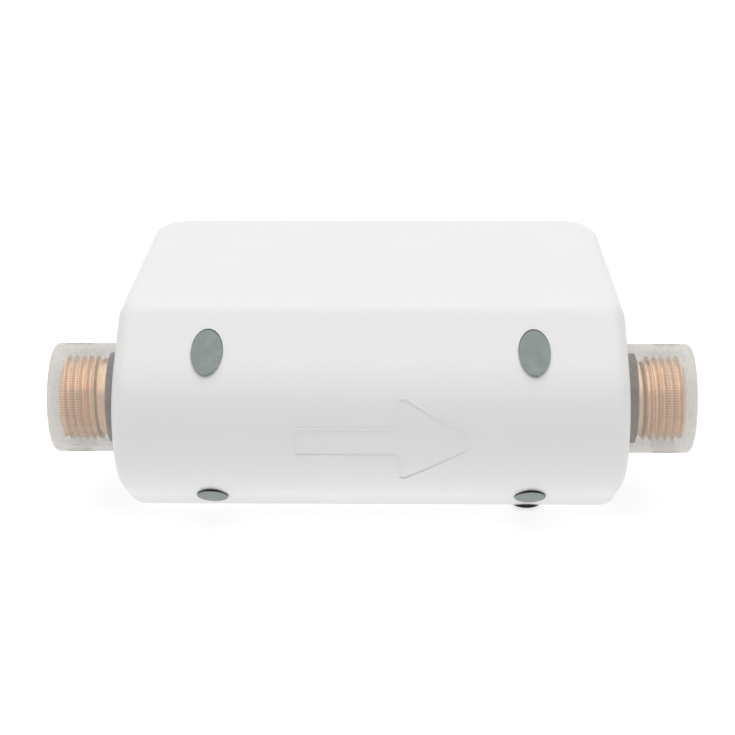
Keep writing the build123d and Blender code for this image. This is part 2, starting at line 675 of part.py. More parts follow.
def light_ring():
    """The clear ring round the button, with a flange behind the casing's front wall."""
    back = FRONT_WALL_INNER - RING_FLANGE_THICK
    body = bar_y(RING_OUTER, back, PANEL_FACE) + bar_y(RING_OUTER + RING_FLANGE, back, FRONT_WALL_INNER)
    return body - bar_y(RING_INNER, back - OVERRUN, PANEL_FACE + OVERRUN)


def plunger_top():
    return BOARD_FACE + SWITCH_HEIGHT + PLUNGER_HEIGHT


def push_button():
    """A hollow cap with a dished face, a stop flange and a stem that presses the board switch."""
    stop = FRONT_WALL_INNER - RING_FLANGE_THICK - BUTTON_GAP
    back = stop - BUTTON_FLANGE
    cap = bar_y(BUTTON_RADIUS, back, BUTTON_FACE)
    cap = fillet(cap.edges().group_by(Axis.Y)[-1], BUTTON_EDGE)
    cap += bar_y(BUTTON_RADIUS + BUTTON_FLANGE, back, stop)
    cap -= bar_y(BUTTON_RADIUS - BUTTON_SKIRT, back - OVERRUN, BUTTON_FACE - BUTTON_SKIRT)
    cap -= Pos(0, BUTTON_FACE + BUTTON_DISH_RADIUS - BUTTON_DISH_DEPTH, 0) * Sphere(BUTTON_DISH_RADIUS)
    return cap + bar_y(BUTTON_STEM_RADIUS, plunger_top(), BUTTON_FACE - BUTTON_SKIRT)


def switch_plunger():
    return bar_y(PLUNGER_RADIUS, BOARD_FACE + SWITCH_HEIGHT - PLUNGER_SINK, plunger_top())


def board_switch():
    half = SWITCH_SIZE / 2
    top = BOARD_FACE + SWITCH_HEIGHT
    body = block((-half, half), (BOARD_FACE, top), (-half, half))
    depth = PLUNGER_SINK + BUTTON_TRAVEL + HOLE_CLEARANCE
    return body - bar_y(PLUNGER_RADIUS + PLUNGER_GAP, top - depth, top + OVERRUN)


# Circuit board


def post_places():
    return [(sx * POST_X, sz * POST_Z) for sx in (-1, 1) for sz in (-1, 1)]


def main_board():
    board = slab(BOARD_LENGTH, BOARD_HEIGHT, BOARD_CORNER, BOARD_BACK, BOARD_FACE)
    for x, z in post_places():
        board -= bar_y(BOARD_SCREW_RADIUS + HOLE_CLEARANCE, BOARD_BACK - OVERRUN, BOARD_FACE + OVERRUN, x, z)
    return board


def board_screws():
    size = (BOARD_SCREW_RADIUS, BOARD_SCREW_LENGTH, BOARD_HEAD_RADIUS, BOARD_HEAD_HEIGHT)
    return [screw(BOARD_BACK, 1, *size, x, z) for x, z in post_places()]


def part_on_board(place, size, forward):
    """A small box on the board's front or back face; size is along X, along Z and its height."""
    x, z = place
    y = (BOARD_FACE, BOARD_FACE + size[2]) if forward else (BOARD_BACK - size[2], BOARD_BACK)
    return block((x - size[0] / 2, x + size[0] / 2), y, (z - size[1] / 2, z + size[1] / 2))


def radio_module():
    """A small board with a screening can, soldered flat on the main board."""
    base = part_on_board((RADIO_X, 0), RADIO_BOARD, True)
    can = part_on_board((RADIO_X, RADIO_CAN_SHIFT), RADIO_CAN, True)
    can = Pos(0, RADIO_BOARD[2], 0) * can
    edges = can.edges().group_by(Axis.Y)[-1]
    return base + fillet(edges, RADIO_CAN_EDGE)


def status_lights():
    reach = (RING_INNER + RING_OUTER) / 2
    lights = []
    for n in range(LED_COUNT):
        angle = pi / LED_COUNT + 2 * pi * n / LED_COUNT
        lights.append(part_on_board((reach * cos(angle), reach * sin(angle)), LED_SIZE, True))
    return lights


def capacitor():
    x, z = CAPACITOR_PLACE
    can = bar_y(CAPACITOR_RADIUS, BOARD_BACK - CAPACITOR_LENGTH, BOARD_BACK, x, z)
    return fillet(can.edges().group_by(Axis.Y)[0], CAPACITOR_EDGE)


def buzzer():
    x, z = BUZZER_PLACE
    top = BOARD_FACE + BUZZER_HEIGHT
    body = bar_y(BUZZER_RADIUS, BOARD_FACE, top, x, z)
    return body - bar_y(BUZZER_HOLE, top - BUZZER_HOLE_DEPTH, top + OVERRUN, x, z)


def header_places():
    """Sockets behind the board: power, motor and the two limit switches."""
    return [(HEADER_X, z) for z in (POWER_HEADER_Z, MOTOR_HEADER_Z, LIMIT_Z, -LIMIT_Z)]


def socket_floor():
    return BOARD_BACK - HEADER_SIZE[2] + HEADER_DEPTH


def lead_headers():
    """Push-in terminal blocks, each with two round sockets for bare leads."""
    back = BOARD_BACK - HEADER_SIZE[2]
    blocks = []
    for x, z in header_places():
        body = part_on_board((x, z), HEADER_SIZE, False)
        for side in (-1, 1):
            socket_x = x + side * LEAD_SPREAD / 2
            body -= bar_y(LEAD_RADIUS + LEAD_FIT, back - OVERRUN, socket_floor(), socket_x, z)
        blocks.append(body)
    return blocks


# Pipe ends


def ring_profile(points):
    """A ring about the pipe's axis from an outline of places along X and radii."""
    return revolve(make_face(Polyline(*points, points[0])), Axis.X)


def thread_outline():
    """Crests and roots of the male thread, from its start to the end of the pipe."""
    root = THREAD_MAJOR - THREAD_DEPTH
    flat, flank = THREAD_PITCH * THREAD_FLAT_SHARE, THREAD_PITCH * (0.5 - THREAD_FLAT_SHARE)
    points = [(THREAD_START, root)]
    turns = int((PIPE_END - THREAD_START - THREAD_CHAMFER) / THREAD_PITCH)
    for turn in range(turns):
        x = THREAD_START + turn * THREAD_PITCH
        points.append((x + flat, root))
        points.append((x + flat + flank, THREAD_MAJOR))
        points.append((x + 2 * flat + flank, THREAD_MAJOR))
        points.append((x + 2 * flat + 2 * flank, root))
    return points + [(PIPE_END - THREAD_CHAMFER, root), (PIPE_END, root - THREAD_CHAMFER)]


def nipple():
    """The right-hand pipe end: plug in the body, hexagon, tube, neck and male thread."""
    points = [(SEAT_PLACE, WATERWAY), (SEAT_PLACE, CAVITY_RADIUS), (BODY_HALF, CAVITY_RADIUS)]
    points += [(BODY_HALF, TUBE_RADIUS), (NECK_START, TUBE_RADIUS), (NECK_START, NECK_RADIUS)]
    points += [(THREAD_START, NECK_RADIUS)] + thread_outline() + [(PIPE_END, WATERWAY)]
    collar = hexagon_x(COLLAR_FLATS, BODY_HALF, BODY_HALF + COLLAR_WIDTH)
    return ring_profile(points) + (collar - bar_x(WATERWAY, BODY_HALF - OVERRUN, PIPE_END))


def neck_seal():
    """The right-hand rubber collar: a sleeve on the neck with a flange inside the casing."""
    sleeve = NECK_RADIUS + SEAL_COLLAR
    points = [(SEAL_START, NECK_RADIUS), (SEAL_START, sleeve + SEAL_FLANGE)]
    points += [(END_WALL, sleeve + SEAL_FLANGE), (END_WALL, sleeve)]
    points += [(SEAL_END, sleeve), (SEAL_END, NECK_RADIUS)]
    return ring_profile(points)


def pipe_cap():
    """The right-hand protective cap, a closed cup whose inner fins grip the thread."""
    cup = bar_x(CAP_RADIUS, CAP_START, CAP_END)
    cup = fillet(cup.edges().group_by(Axis.X)[-1], CAP_EDGE)
    floor = CAP_END - CAP_END_WALL
    cup -= bar_x(CAP_RADIUS - CAP_WALL, CAP_START - OVERRUN, floor)
    inner, outer = THREAD_MAJOR + CAP_FIT, CAP_RADIUS - CAP_WALL + CAP_FIN_ROOT
    half = CAP_FIN_WIDTH / 2
    fin = block((CAP_FIN_START, floor + CAP_FIN_ROOT), (-half, half), (inner, outer))
    for n in range(CAP_FINS):
        cup += Rot(360 * n / CAP_FINS, 0, 0) * fin
    return cup


# Valve


def valve_body():
    """Forged body: ball chamber, bonnet for the stem and a square flange for the drive."""
    body = bar_x(BODY_RADIUS, -BODY_HALF, BODY_HALF) + bar_y(BONNET_RADIUS, 0, FLANGE_BACK)
    body += slab(2 * FLANGE_HALF, 2 * FLANGE_HALF, FLANGE_CORNER, FLANGE_BACK, FLANGE_FACE)
    body -= bar_x(CAVITY_RADIUS, -BODY_HALF - OVERRUN, BODY_HALF + OVERRUN)
    body -= bar_y(STEM_RADIUS + STEM_FIT, 0, FLANGE_FACE + OVERRUN)
    body -= bar_y(STEM_COLLAR_RADIUS + STEM_COLLAR_GAP, 0, STEM_COLLAR_END + STEM_COLLAR_GAP)
    body -= bar_y(GLAND_NUT_RADIUS, GLAND_NUT_START, FLANGE_FACE + OVERRUN)
    for x, z in pillar_places():
        body -= bar_y(DRIVE_SCREW_RADIUS, FLANGE_BACK - OVERRUN, FLANGE_FACE + OVERRUN, x, z)
    return body


def ball():
    """The ball, bored through along the flow, with a slot for the stem's tang."""
    body = Sphere(BALL_RADIUS) - bar_x(WATERWAY, -BALL_RADIUS, BALL_RADIUS)
    wide, start = TANG_HALF_WIDTH + SLOT_CLEARANCE, TANG_START - SLOT_CLEARANCE
    return body - block((-wide, wide), (start, BALL_RADIUS + OVERRUN), (-BALL_RADIUS, BALL_RADIUS))


def ball_seat():
    """The right-hand seat ring, hollowed to the ball."""
    outer, inner = CAVITY_RADIUS - SEAT_RADIAL_GAP, WATERWAY + SEAT_RADIAL_GAP
    hollow = BALL_RADIUS + BALL_FIT
    start = (sqrt(hollow**2 - inner**2), inner)
    lip = start[0] - SEAT_CONTACT
    end = (lip, sqrt(hollow**2 - lip**2))
    middle = (start[0] + end[0]) / 2
    arc = ThreePointArc(start, (middle, sqrt(hollow**2 - middle**2)), end)
    rest = Polyline(end, (lip, outer), (SEAT_PLACE, outer), (SEAT_PLACE, inner), start)
    return revolve(make_face(Curve() + [arc, rest]), Axis.X)


def drive_flat(start, end):
    """The stem's round bar with one flat, as its drive end and as the bores that fit it."""
    bar = bar_y(STEM_RADIUS, start, end)
    return bar - block((-STEM_RADIUS, STEM_RADIUS), (start, end), (STEM_FLAT, STEM_RADIUS))


def stem():
    """Tang, retaining collar, ring grooves and the flatted drive end."""
    round_top = TRAY_FLOOR + GEAR_GAP / 2
    body = bar_y(STEM_RADIUS, STEM_COLLAR_START, round_top) + drive_flat(round_top, STEM_TOP)
    body += bar_y(STEM_COLLAR_RADIUS, STEM_COLLAR_START, STEM_COLLAR_END)
    tang_x, tang_z = (-TANG_HALF_WIDTH, TANG_HALF_WIDTH), (-TANG_HALF_LENGTH, TANG_HALF_LENGTH)
    body += block(tang_x, (TANG_START, STEM_COLLAR_START), tang_z)
    for place in RING_PLACES:
        groove = bar_y(STEM_RADIUS + OVERRUN, place - RING_GROOVE / 2, place + RING_GROOVE / 2)
        body -= groove - bar_y(STEM_RADIUS - RING_GROOVE_DEPTH, place - RING_GROOVE, place + RING_GROOVE)
    return body


def stem_rings():
    reach = STEM_RADIUS - RING_GROOVE_DEPTH + RING_SECTION
    return [Pos(0, place, 0) * Rot(90, 0, 0) * Torus(reach, RING_SECTION) for place in RING_PLACES]


def gland_nut():
    body = bar_y(GLAND_NUT_RADIUS, GLAND_NUT_START, FLANGE_FACE)
    body += hexagon_y(GLAND_NUT_FLATS, FLANGE_FACE, FLANGE_FACE + GLAND_NUT_HEAD)
    top = FLANGE_FACE + GLAND_NUT_HEAD + OVERRUN
    return body - bar_y(STEM_RADIUS + STEM_FIT, GLAND_NUT_START - OVERRUN, top)


# Gearbox


def pillar_places():
    reach = FLANGE_HALF - PILLAR_INSET
    return [(sx * reach, sz * reach) for sx in (-1, 1) for sz in (-1, 1)]


def cover_posts():
    """Three posts in corners of the tray, and one between the last two gears."""
    inset = TRAY_HALF - COVER_POST_INSET
    left, between = TRAY_LEFT + COVER_POST_INSET, (MIDDLE_X + FIRST_X) / 2
    right = (TRAY_RIGHT - COVER_POST_END, TRAY_HALF - COVER_POST_LOW)
    return [(left, inset), (left, -inset), right, (between, -inset)]


def tray_slab(inset, start, end):
    length = TRAY_RIGHT - TRAY_LEFT - 2 * inset
    middle = (TRAY_LEFT + TRAY_RIGHT) / 2
    return slab(length, 2 * (TRAY_HALF - inset), TRAY_CORNER - inset, start, end, x=middle)


def gearbox_tray():
    """Open tray on four pillars: gear pins, cover posts, motor seat and slots for the switch leads."""
    body = tray_slab(0, TRAY_UNDER, TRAY_TOP) - tray_slab(TRAY_WALL, TRAY_FLOOR, TRAY_TOP + OVERRUN)
    for x, z in cover_posts():
        post = bar_y(COVER_POST_RADIUS, TRAY_UNDER, TRAY_TOP, x, z) & tray_slab(0, TRAY_UNDER, TRAY_TOP)
        tip = TRAY_TOP + COVER_THICK - COVER_SCREW_LENGTH - HOLE_CLEARANCE
        body += post
        body -= bar_y(COVER_SCREW_RADIUS, tip, TRAY_TOP + OVERRUN, x, z)
    for x, z in pillar_places():
        body += bar_y(PILLAR_RADIUS, FLANGE_FACE, TRAY_FLOOR, x, z)
        body -= bar_y(DRIVE_SCREW_RADIUS + HOLE_CLEARANCE, FLANGE_FACE - OVERRUN, TRAY_TOP, x, z)
        body -= bar_y(DRIVE_HEAD_RADIUS + HEAD_CLEARANCE, DRIVE_HEAD_SEAT, TRAY_TOP, x, z)
    body -= bar_y(STEM_RADIUS + STEM_FIT, TRAY_UNDER - OVERRUN, TRAY_TOP)
    for x, z in ((MIDDLE_X, 0), (FIRST_X, FIRST_Z)):
        body -= bar_y(PIN_RADIUS, TRAY_FLOOR - PIN_SINK, TRAY_TOP, x, z)
    body -= bar_y(MOTOR_BUSH + HOLE_CLEARANCE, TRAY_UNDER - OVERRUN, TRAY_TOP, MOTOR_X, MOTOR_Z)
    for z in motor_screw_places():
        body -= bar_y(MOTOR_SCREW_RADIUS, TRAY_UNDER - OVERRUN, TRAY_TOP, MOTOR_X, z)
    slot = LEAD_RADIUS + LEAD_SPREAD
    for z in (LIMIT_Z, -LIMIT_Z):
        span = (TRAY_LEFT - OVERRUN, TRAY_LEFT + TRAY_WALL + OVERRUN)
        body -= block(span, (switch_lead_level() - slot, TRAY_TOP + OVERRUN), (z - slot, z + slot))
    return body


def gearbox_cover():
    top = TRAY_TOP + COVER_THICK
    body = tray_slab(0, TRAY_TOP, top)
    for x, z in cover_posts():
        body -= bar_y(COVER_SCREW_RADIUS + HOLE_CLEARANCE, TRAY_TOP - OVERRUN, top + OVERRUN, x, z)
    for x, z in ((MIDDLE_X, 0), (FIRST_X, FIRST_Z)):
        body -= bar_y(PIN_RADIUS, TRAY_TOP - OVERRUN, top + OVERRUN, x, z)
    return body


def drive_screws():
    size = (DRIVE_SCREW_RADIUS, DRIVE_SCREW_LENGTH, DRIVE_HEAD_RADIUS, DRIVE_HEAD_HEIGHT)
    return [screw(DRIVE_HEAD_SEAT, -1, *size, x, z) for x, z in pillar_places()]


def cover_screws():
    size = (COVER_SCREW_RADIUS, COVER_SCREW_LENGTH, COVER_HEAD_RADIUS, COVER_HEAD_HEIGHT)
    return [screw(TRAY_TOP + COVER_THICK, -1, *size, x, z) for x, z in cover_posts()]


def involute(angle):
    return tan(angle) - angle


def tooth_half_angle(radius, teeth, module):
    """Half the angle that a tooth takes up at a radius, with the running play taken off."""
    pitch, base = module * teeth / 2, module * teeth / 2 * cos(PRESSURE)
    half = pi / teeth / 2 - BACKLASH * module / (2 * pitch)
    seen = acos(base / radius) if radius > base else 0
    flank = half + involute(PRESSURE) - involute(seen)
    return flank if radius > base else flank * (1 - UNDERCUT_SHARE * (base - radius) / (module * ROOT_SHARE))


def gear(teeth, module, start, width, x=0, z=0, turn=0.0):
    """A spur gear on an axis along Y, with involute flanks drawn through a few points."""
    pitch = module * teeth / 2
    root, tip = pitch - ROOT_SHARE * module, pitch + TIP_SHARE * module
    base = pitch * cos(PRESSURE)
    knee = max(base, root + (tip - root) * KNEE_SHARE)
    radii = [root, knee, (knee + pitch) / 2, (pitch + tip) / 2, tip]
    points = []
    for n in range(teeth):
        centre = turn + 2 * pi * n / teeth
        for side, order in ((-1, radii), (1, radii[::-1])):
            for radius in order:
                angle = centre + side * tooth_half_angle(radius, teeth, module)
                points.append((radius * cos(angle), radius * sin(angle)))
    outline = make_face(Polyline(*points, points[0]))
    plane = Plane((x, start, z), x_dir=(1, 0, 0), z_dir=(0, 1, 0))
    return extrude(plane * outline, width)


def bearing(place, other):
    """The angle from one gear axis to another, as the gear outlines are turned."""
    return atan2(place[1] - other[1], other[0] - place[0])


def mesh_turn(angle, turn, teeth, mate_teeth):
    """How far a mating gear is turned so that its gaps meet the teeth of a gear turned by turn."""
    return angle + pi - (turn - angle) * teeth / mate_teeth + pi / mate_teeth


def output_gear():
    """The large gear keyed on the stem, with the hub that carries the cam."""
    body = gear(OUTPUT_TEETH, OUTPUT_MODULE, OUTPUT_LEVEL, OUTPUT_WIDTH)
    return body + bar_y(HUB_RADIUS, OUTPUT_LEVEL, CAM_LEVEL) - drive_flat(TRAY_FLOOR, STEM_TOP)


def position_cam():
    """The cam on the hub, with one lobe between the two limit switches."""
    start, end = CAM_LEVEL, CAM_LEVEL + CAM_HEIGHT
    body = bar_y(CAM_RADIUS, start, end) + bar_y(CAM_LOBE_HALF, start, end, -LOBE_REACH, LOBE_REACH)
    neck = block((-LOBE_REACH * sqrt(2), 0), (start, end), (-CAM_LOBE_HALF, CAM_LOBE_HALF))
    return body + Rot(0, 45, 0) * neck - drive_flat(TRAY_FLOOR, STEM_TOP)


def transfer_gear():
    """Pinion and wheel in one, between the output gear and the first gear."""
    turn = mesh_turn(0, 0, OUTPUT_TEETH, OUTPUT_PINION_TEETH)
    body = gear(OUTPUT_PINION_TEETH, OUTPUT_MODULE, OUTPUT_LEVEL, OUTPUT_WIDTH + GEAR_GAP, MIDDLE_X, 0, turn)
    body += gear(MIDDLE_TEETH, MIDDLE_MODULE, MIDDLE_LEVEL, MIDDLE_WIDTH, MIDDLE_X, 0)
    return hubbed(body, MIDDLE_X, 0)


def hubbed(body, x, z):
    """A gear with its hub, which keeps it in place between floor and cover, and its running bore."""
    play = GEAR_GAP / 2
    body += bar_y(GEAR_HUB, TRAY_FLOOR + play, TRAY_TOP - play, x, z)
    return body - bar_y(PIN_RADIUS + PIN_FIT, TRAY_FLOOR, TRAY_TOP, x, z)


def first_gear():
    angle = bearing((MIDDLE_X, 0), (FIRST_X, FIRST_Z))
    turn = mesh_turn(angle, 0, MIDDLE_TEETH, MIDDLE_PINION_TEETH)
    width = MIDDLE_WIDTH + GEAR_GAP
    body = gear(MIDDLE_PINION_TEETH, MIDDLE_MODULE, MIDDLE_LEVEL, width, FIRST_X, FIRST_Z, turn)
    body += gear(FIRST_TEETH, FIRST_MODULE, FIRST_LEVEL, FIRST_WIDTH, FIRST_X, FIRST_Z)
    return hubbed(body, FIRST_X, FIRST_Z)


def gear_pin(x, z):
    return bar_y(PIN_RADIUS, TRAY_FLOOR - PIN_SINK, TRAY_TOP + COVER_THICK, x, z)


def motor_pinion():
    angle = bearing((FIRST_X, FIRST_Z), (MOTOR_X, MOTOR_Z))
    turn = mesh_turn(angle, 0, FIRST_TEETH, MOTOR_TEETH)
    body = gear(MOTOR_TEETH, FIRST_MODULE, FIRST_LEVEL, FIRST_WIDTH, MOTOR_X, MOTOR_Z, turn)
    body += bar_y(MOTOR_BUSH, FIRST_LEVEL - FIRST_WIDTH, FIRST_LEVEL, MOTOR_X, MOTOR_Z)
    return body - bar_y(MOTOR_SHAFT, TRAY_FLOOR, TRAY_TOP, MOTOR_X, MOTOR_Z)


# Motor


def motor_slab(start, end, inset=0.0):
    size = (MOTOR_WIDTH - 2 * inset, MOTOR_HEIGHT - 2 * inset)
    return slab(*size, MOTOR_ROUND - inset, start, end, MOTOR_X, MOTOR_Z)


def motor_can():
    return motor_slab(MOTOR_BACK + END_CAP_LENGTH, TRAY_UNDER - HEAD_LENGTH)


def motor_end_cap():
    """The moulded end of the motor with its two solder tags."""
    body = motor_slab(MOTOR_BACK, MOTOR_BACK + END_CAP_LENGTH, HEAD_PLATE / 2)
    for side in (-1, 1):
        x = MOTOR_X + side * TERMINAL_SPREAD / 2
        span = (x - TERMINAL[0] / 2, x + TERMINAL[0] / 2)
        half = TERMINAL[1] / 2
        body += block(span, (MOTOR_BACK - TERMINAL[2], MOTOR_BACK), (MOTOR_Z - half, MOTOR_Z + half))
    return body


def reduction_head():
    """Two plates, their pillars and the wheels between them, with a bush for the shaft."""
    back, front = TRAY_UNDER - HEAD_LENGTH, TRAY_UNDER
    body = motor_slab(back, back + HEAD_PLATE) + motor_slab(front - HEAD_PLATE, front)
    for sx, sz in ((-1, 1), (1, -1)):
        x = MOTOR_X + sx * (MOTOR_WIDTH / 2 - 2 * HEAD_PILLAR)
        z = MOTOR_Z + sz * (MOTOR_HEIGHT / 2 - 2 * HEAD_PILLAR)
        body += bar_y(HEAD_PILLAR, back, front, x, z)
    stages = 2
    free = HEAD_LENGTH - 2 * HEAD_PLATE
    for n in range(stages):
        start = back + HEAD_PLATE + free * n / stages
        radius = MOTOR_WIDTH / 2 - HEAD_PILLAR * (n + 1)
        body += bar_y(radius, start, start + free / stages, MOTOR_X, MOTOR_Z)
    body += bar_y(MOTOR_BUSH, front, front + MOTOR_BUSH_LENGTH, MOTOR_X, MOTOR_Z)
    return body - bar_y(MOTOR_SHAFT + STEM_FIT, front - SHAFT_SINK - OVERRUN, TRAY_TOP, MOTOR_X, MOTOR_Z)


def motor_shaft():
    return bar_y(MOTOR_SHAFT, TRAY_UNDER - SHAFT_SINK, FIRST_LEVEL + FIRST_WIDTH + GEAR_GAP, MOTOR_X, MOTOR_Z)


def motor_screw_places():
    return [MOTOR_Z - MOTOR_SCREW_SPREAD, MOTOR_Z + MOTOR_SCREW_SPREAD]


def motor_screws():
    length = TRAY_FLOOR - TRAY_UNDER
    size = (MOTOR_SCREW_RADIUS, length, MOTOR_HEAD_RADIUS, MOTOR_HEAD_HEIGHT)
    return [screw(TRAY_FLOOR, -1, *size, MOTOR_X, z) for z in motor_screw_places()]


# Limit switches


def limit_span():
    """Along Y: from just above the output gear to the cover, which holds the switches."""
    return OUTPUT_LEVEL + OUTPUT_WIDTH + GEAR_GAP, TRAY_TOP


def switch_lead_level():
    return sum(limit_span()) / 2 - SWITCH_LEAD_DROP


def limit_switch():
    """The upper switch: its body and the spring leaf that the cam's lobe comes beside."""
    x = (LIMIT_X - LIMIT_LENGTH / 2, LIMIT_X + LIMIT_LENGTH / 2)
    body = block(x, limit_span(), (LIMIT_INNER, LIMIT_INNER + LIMIT_HEIGHT))
    level = CAM_LEVEL + CAM_HEIGHT / 2
    leaf_y = (level - LIMIT_LEVER_WIDTH / 2, level + LIMIT_LEVER_WIDTH / 2)
    leaf_z = LIMIT_INNER - LIMIT_LEVER_GAP
    body += block(x, leaf_y, (leaf_z - LIMIT_LEVER, leaf_z))
    return body + block((x[0], x[0] + LIMIT_TOE), leaf_y, (leaf_z - LIMIT_LEVER, LIMIT_INNER))


# Internal leads


def lead(points, radii):
    """A round lead along straight runs joined by tangent arcs."""
    path = FilletPolyline(*points, radius=radii)
    start = Plane(origin=path @ 0, z_dir=path % 0)
    wire = sweep(start * Circle(LEAD_RADIUS), path=path)
    print("lead of", round(path.length, 1), "mm")
    return wire


def motor_leads():
    """From the motor's tags round below the valve flange to the board's socket."""
    leads = []
    for side, level in ((-1, 0), (1, 1)):
        x = MOTOR_X + side * TERMINAL_SPREAD / 2
        end_x = HEADER_X + side * LEAD_SPREAD / 2
        run = LEAD_RUN_LEVEL + level * LEAD_SPREAD
        points = [
            (x, MOTOR_BACK - TERMINAL[2], MOTOR_Z),
            (x, LEAD_TURN_LEVEL, MOTOR_Z),
            (x, LEAD_TURN_LEVEL, LEAD_SIDE),
            (x, run, LEAD_SIDE),
            (end_x, run, LEAD_SIDE),
            (end_x, LEAD_RISE_LEVEL, MOTOR_HEADER_Z),
            (end_x, socket_floor(), MOTOR_HEADER_Z),
        ]
        leads.append(lead(points, LEAD_BENDS))
    return leads


def switch_leads():
    """From each limit switch through the tray's slot to its socket."""
    leads = []
    for z in (LIMIT_Z, -LIMIT_Z):
        for side in (-1, 1):
            start = LIMIT_X - LIMIT_LENGTH / 2
            end_x = HEADER_X + side * LEAD_SPREAD / 2
            level = switch_lead_level() + side * LEAD_SPREAD / 2
            points = [(start, level, z), (end_x, level, z), (end_x, socket_floor(), z)]
            leads.append(lead(points, [SWITCH_LEAD_BEND]))
    return leads


def place(shape):
    """Stands the part on its lower side wall, with its box centred over zero."""
    shift = (NOSE_REACH + ARROW_PROUD - BUTTON_FACE) / 2
    if isinstance(shape, list):
        return Compound(children=[Pos(0, shift, WALL_HALF) * s for s in shape])
    return Pos(0, shift, WALL_HALF) * shape


def both_ends(name, shape):
    """The inlet piece, mirrored from the outlet piece."""
    return {"inlet_" + name: mirror(shape, Plane.YZ), "outlet_" + name: shape}


def build():
    outer = casing_form(0, FRONT_FACE)
    inner = casing_form(SKIN, FRONT_WALL_INNER)
    upper = limit_switch()
    nodes = {
        "back_shell": back_shell(outer, inner),
        "front_shell": front_shell(outer, inner),
        "shell_seal": shell_seal(),
        "screw_plugs": screw_plugs(),
        "case_screws": case_screws(),
        "lead_gland": lead_gland(),
        "front_panel": front_panel(),
        "light_ring": light_ring(),
        "push_button": push_button(),
        "switch_plunger": switch_plunger(),
        "board_switch": board_switch(),
        "main_board": main_board(),
        "board_screws": board_screws(),
        "radio_module": radio_module(),
        "status_lights": status_lights(),
        "capacitor": capacitor(),
        "driver_chip": part_on_board(CHIP_PLACE, CHIP_SIZE, False),
        "buzzer": buzzer(),
        "lead_headers": lead_headers(),
        "valve_body": valve_body(),
        "ball": ball(),
        "stem": stem(),
        "stem_rings": stem_rings(),
        "gland_nut": gland_nut(),
        "gearbox_tray": gearbox_tray(),
        "gearbox_cover": gearbox_cover(),
        "drive_screws": drive_screws(),
        "cover_screws": cover_screws(),
        "output_gear": output_gear(),
        "position_cam": position_cam(),
        "transfer_gear": transfer_gear(),
        "transfer_pin": gear_pin(MIDDLE_X, 0),
        "first_gear": first_gear(),
        "first_pin": gear_pin(FIRST_X, FIRST_Z),
        "motor_pinion": motor_pinion(),
        "motor_shaft": motor_shaft(),
        "motor_can": motor_can(),
        "motor_end_cap": motor_end_cap(),
        "reduction_head": reduction_head(),
        "motor_screws": motor_screws(),
        "open_switch": upper,
        "closed_switch": mirror(upper, Plane.XY),
        "motor_leads": motor_leads(),
        "switch_leads": switch_leads(),
    }
    nodes.update(both_ends("nipple", nipple()))
    nodes.update(both_ends("neck_seal", neck_seal()))
    nodes.update(both_ends("cap", pipe_cap()))
    nodes.update(both_ends("seat", ball_seat()))
    return nodes


os.makedirs("parts", exist_ok=True)
for name, shape in build().items():
    export_step(place(shape), f"parts/{name}.step")
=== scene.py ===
# %% [markdown]
# # A motor-driven ball valve
# The valve is a white moulded casing round a brass pipe with a ball in it. A small motor turns the ball
# through a train of gears, and a circuit board drives the motor. The solids come from the CAD model, and
# this file gives them their finishes and makes the pieces whose fine forms are easier in mesh code.

# %% Frame and CAD box
from math import atan2, cos, pi, radians, sin
import bmesh
import bpy
from mathutils import Matrix, Vector


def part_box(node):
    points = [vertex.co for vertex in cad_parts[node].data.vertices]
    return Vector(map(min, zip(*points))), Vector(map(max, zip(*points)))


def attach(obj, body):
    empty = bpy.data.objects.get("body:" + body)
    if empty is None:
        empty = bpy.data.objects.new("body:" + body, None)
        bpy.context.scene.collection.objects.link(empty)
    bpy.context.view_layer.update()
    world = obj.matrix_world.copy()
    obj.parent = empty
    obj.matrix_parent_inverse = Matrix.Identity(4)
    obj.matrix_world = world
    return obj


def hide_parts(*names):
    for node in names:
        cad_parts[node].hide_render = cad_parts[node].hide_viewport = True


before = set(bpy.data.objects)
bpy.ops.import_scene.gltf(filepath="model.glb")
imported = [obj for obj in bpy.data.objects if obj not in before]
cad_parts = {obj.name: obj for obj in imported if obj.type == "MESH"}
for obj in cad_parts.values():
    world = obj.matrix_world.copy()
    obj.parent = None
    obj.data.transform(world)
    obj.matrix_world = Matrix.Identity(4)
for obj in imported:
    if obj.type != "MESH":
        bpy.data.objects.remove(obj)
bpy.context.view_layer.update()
MM = 0.001

# %% [markdown]
# The pipe's axis is the best place to measure from, because everything is drawn about it. The cap is
# round and sits on the axis, so the middle of its box gives the axis's height and depth. The function
# below it reads where a solid starts and ends along the pipe, so that a remade piece fills its space.

# %% Pipe axis
low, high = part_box("inlet_cap")
AXIS = Vector((0, (low.y + high.y) / 2, (low.z + high.z) / 2))
print("pipe axis at y, z in mm:", round(AXIS.y / MM, 2), round(AXIS.z / MM, 2))


def reach_of(node, digits=2):
    """A solid's nearest and furthest place along the pipe and half its height, in millimetres."""
    low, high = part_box(node)
    return [round(size / MM, digits) for size in (low.x, high.x, (high.z - low.z) / 2)]


# %% [markdown]
# The camera stands as it did for the photograph: a little over 40 cm away, about 22 degrees above the
# pipe and almost square to it. Its three directions are worked out from those angles, and the valve sits
# slightly low in the picture, so the camera aims a little above the pipe. The picture is 735 pixels wide,
# with four to the millimetre at the pipe, and that sets the lens.

# %% Camera
DISTANCE, RISE, YAW, ROLL = 0.425, radians(21.6), radians(1.3), radians(-0.35)
AIM_RIGHT, AIM_UP = -1.125 * MM, 7.525 * MM
PICTURE_WIDTH, SENSOR = 735 / 4 * MM, 36
NEAREST, FURTHEST = 0.01, 50

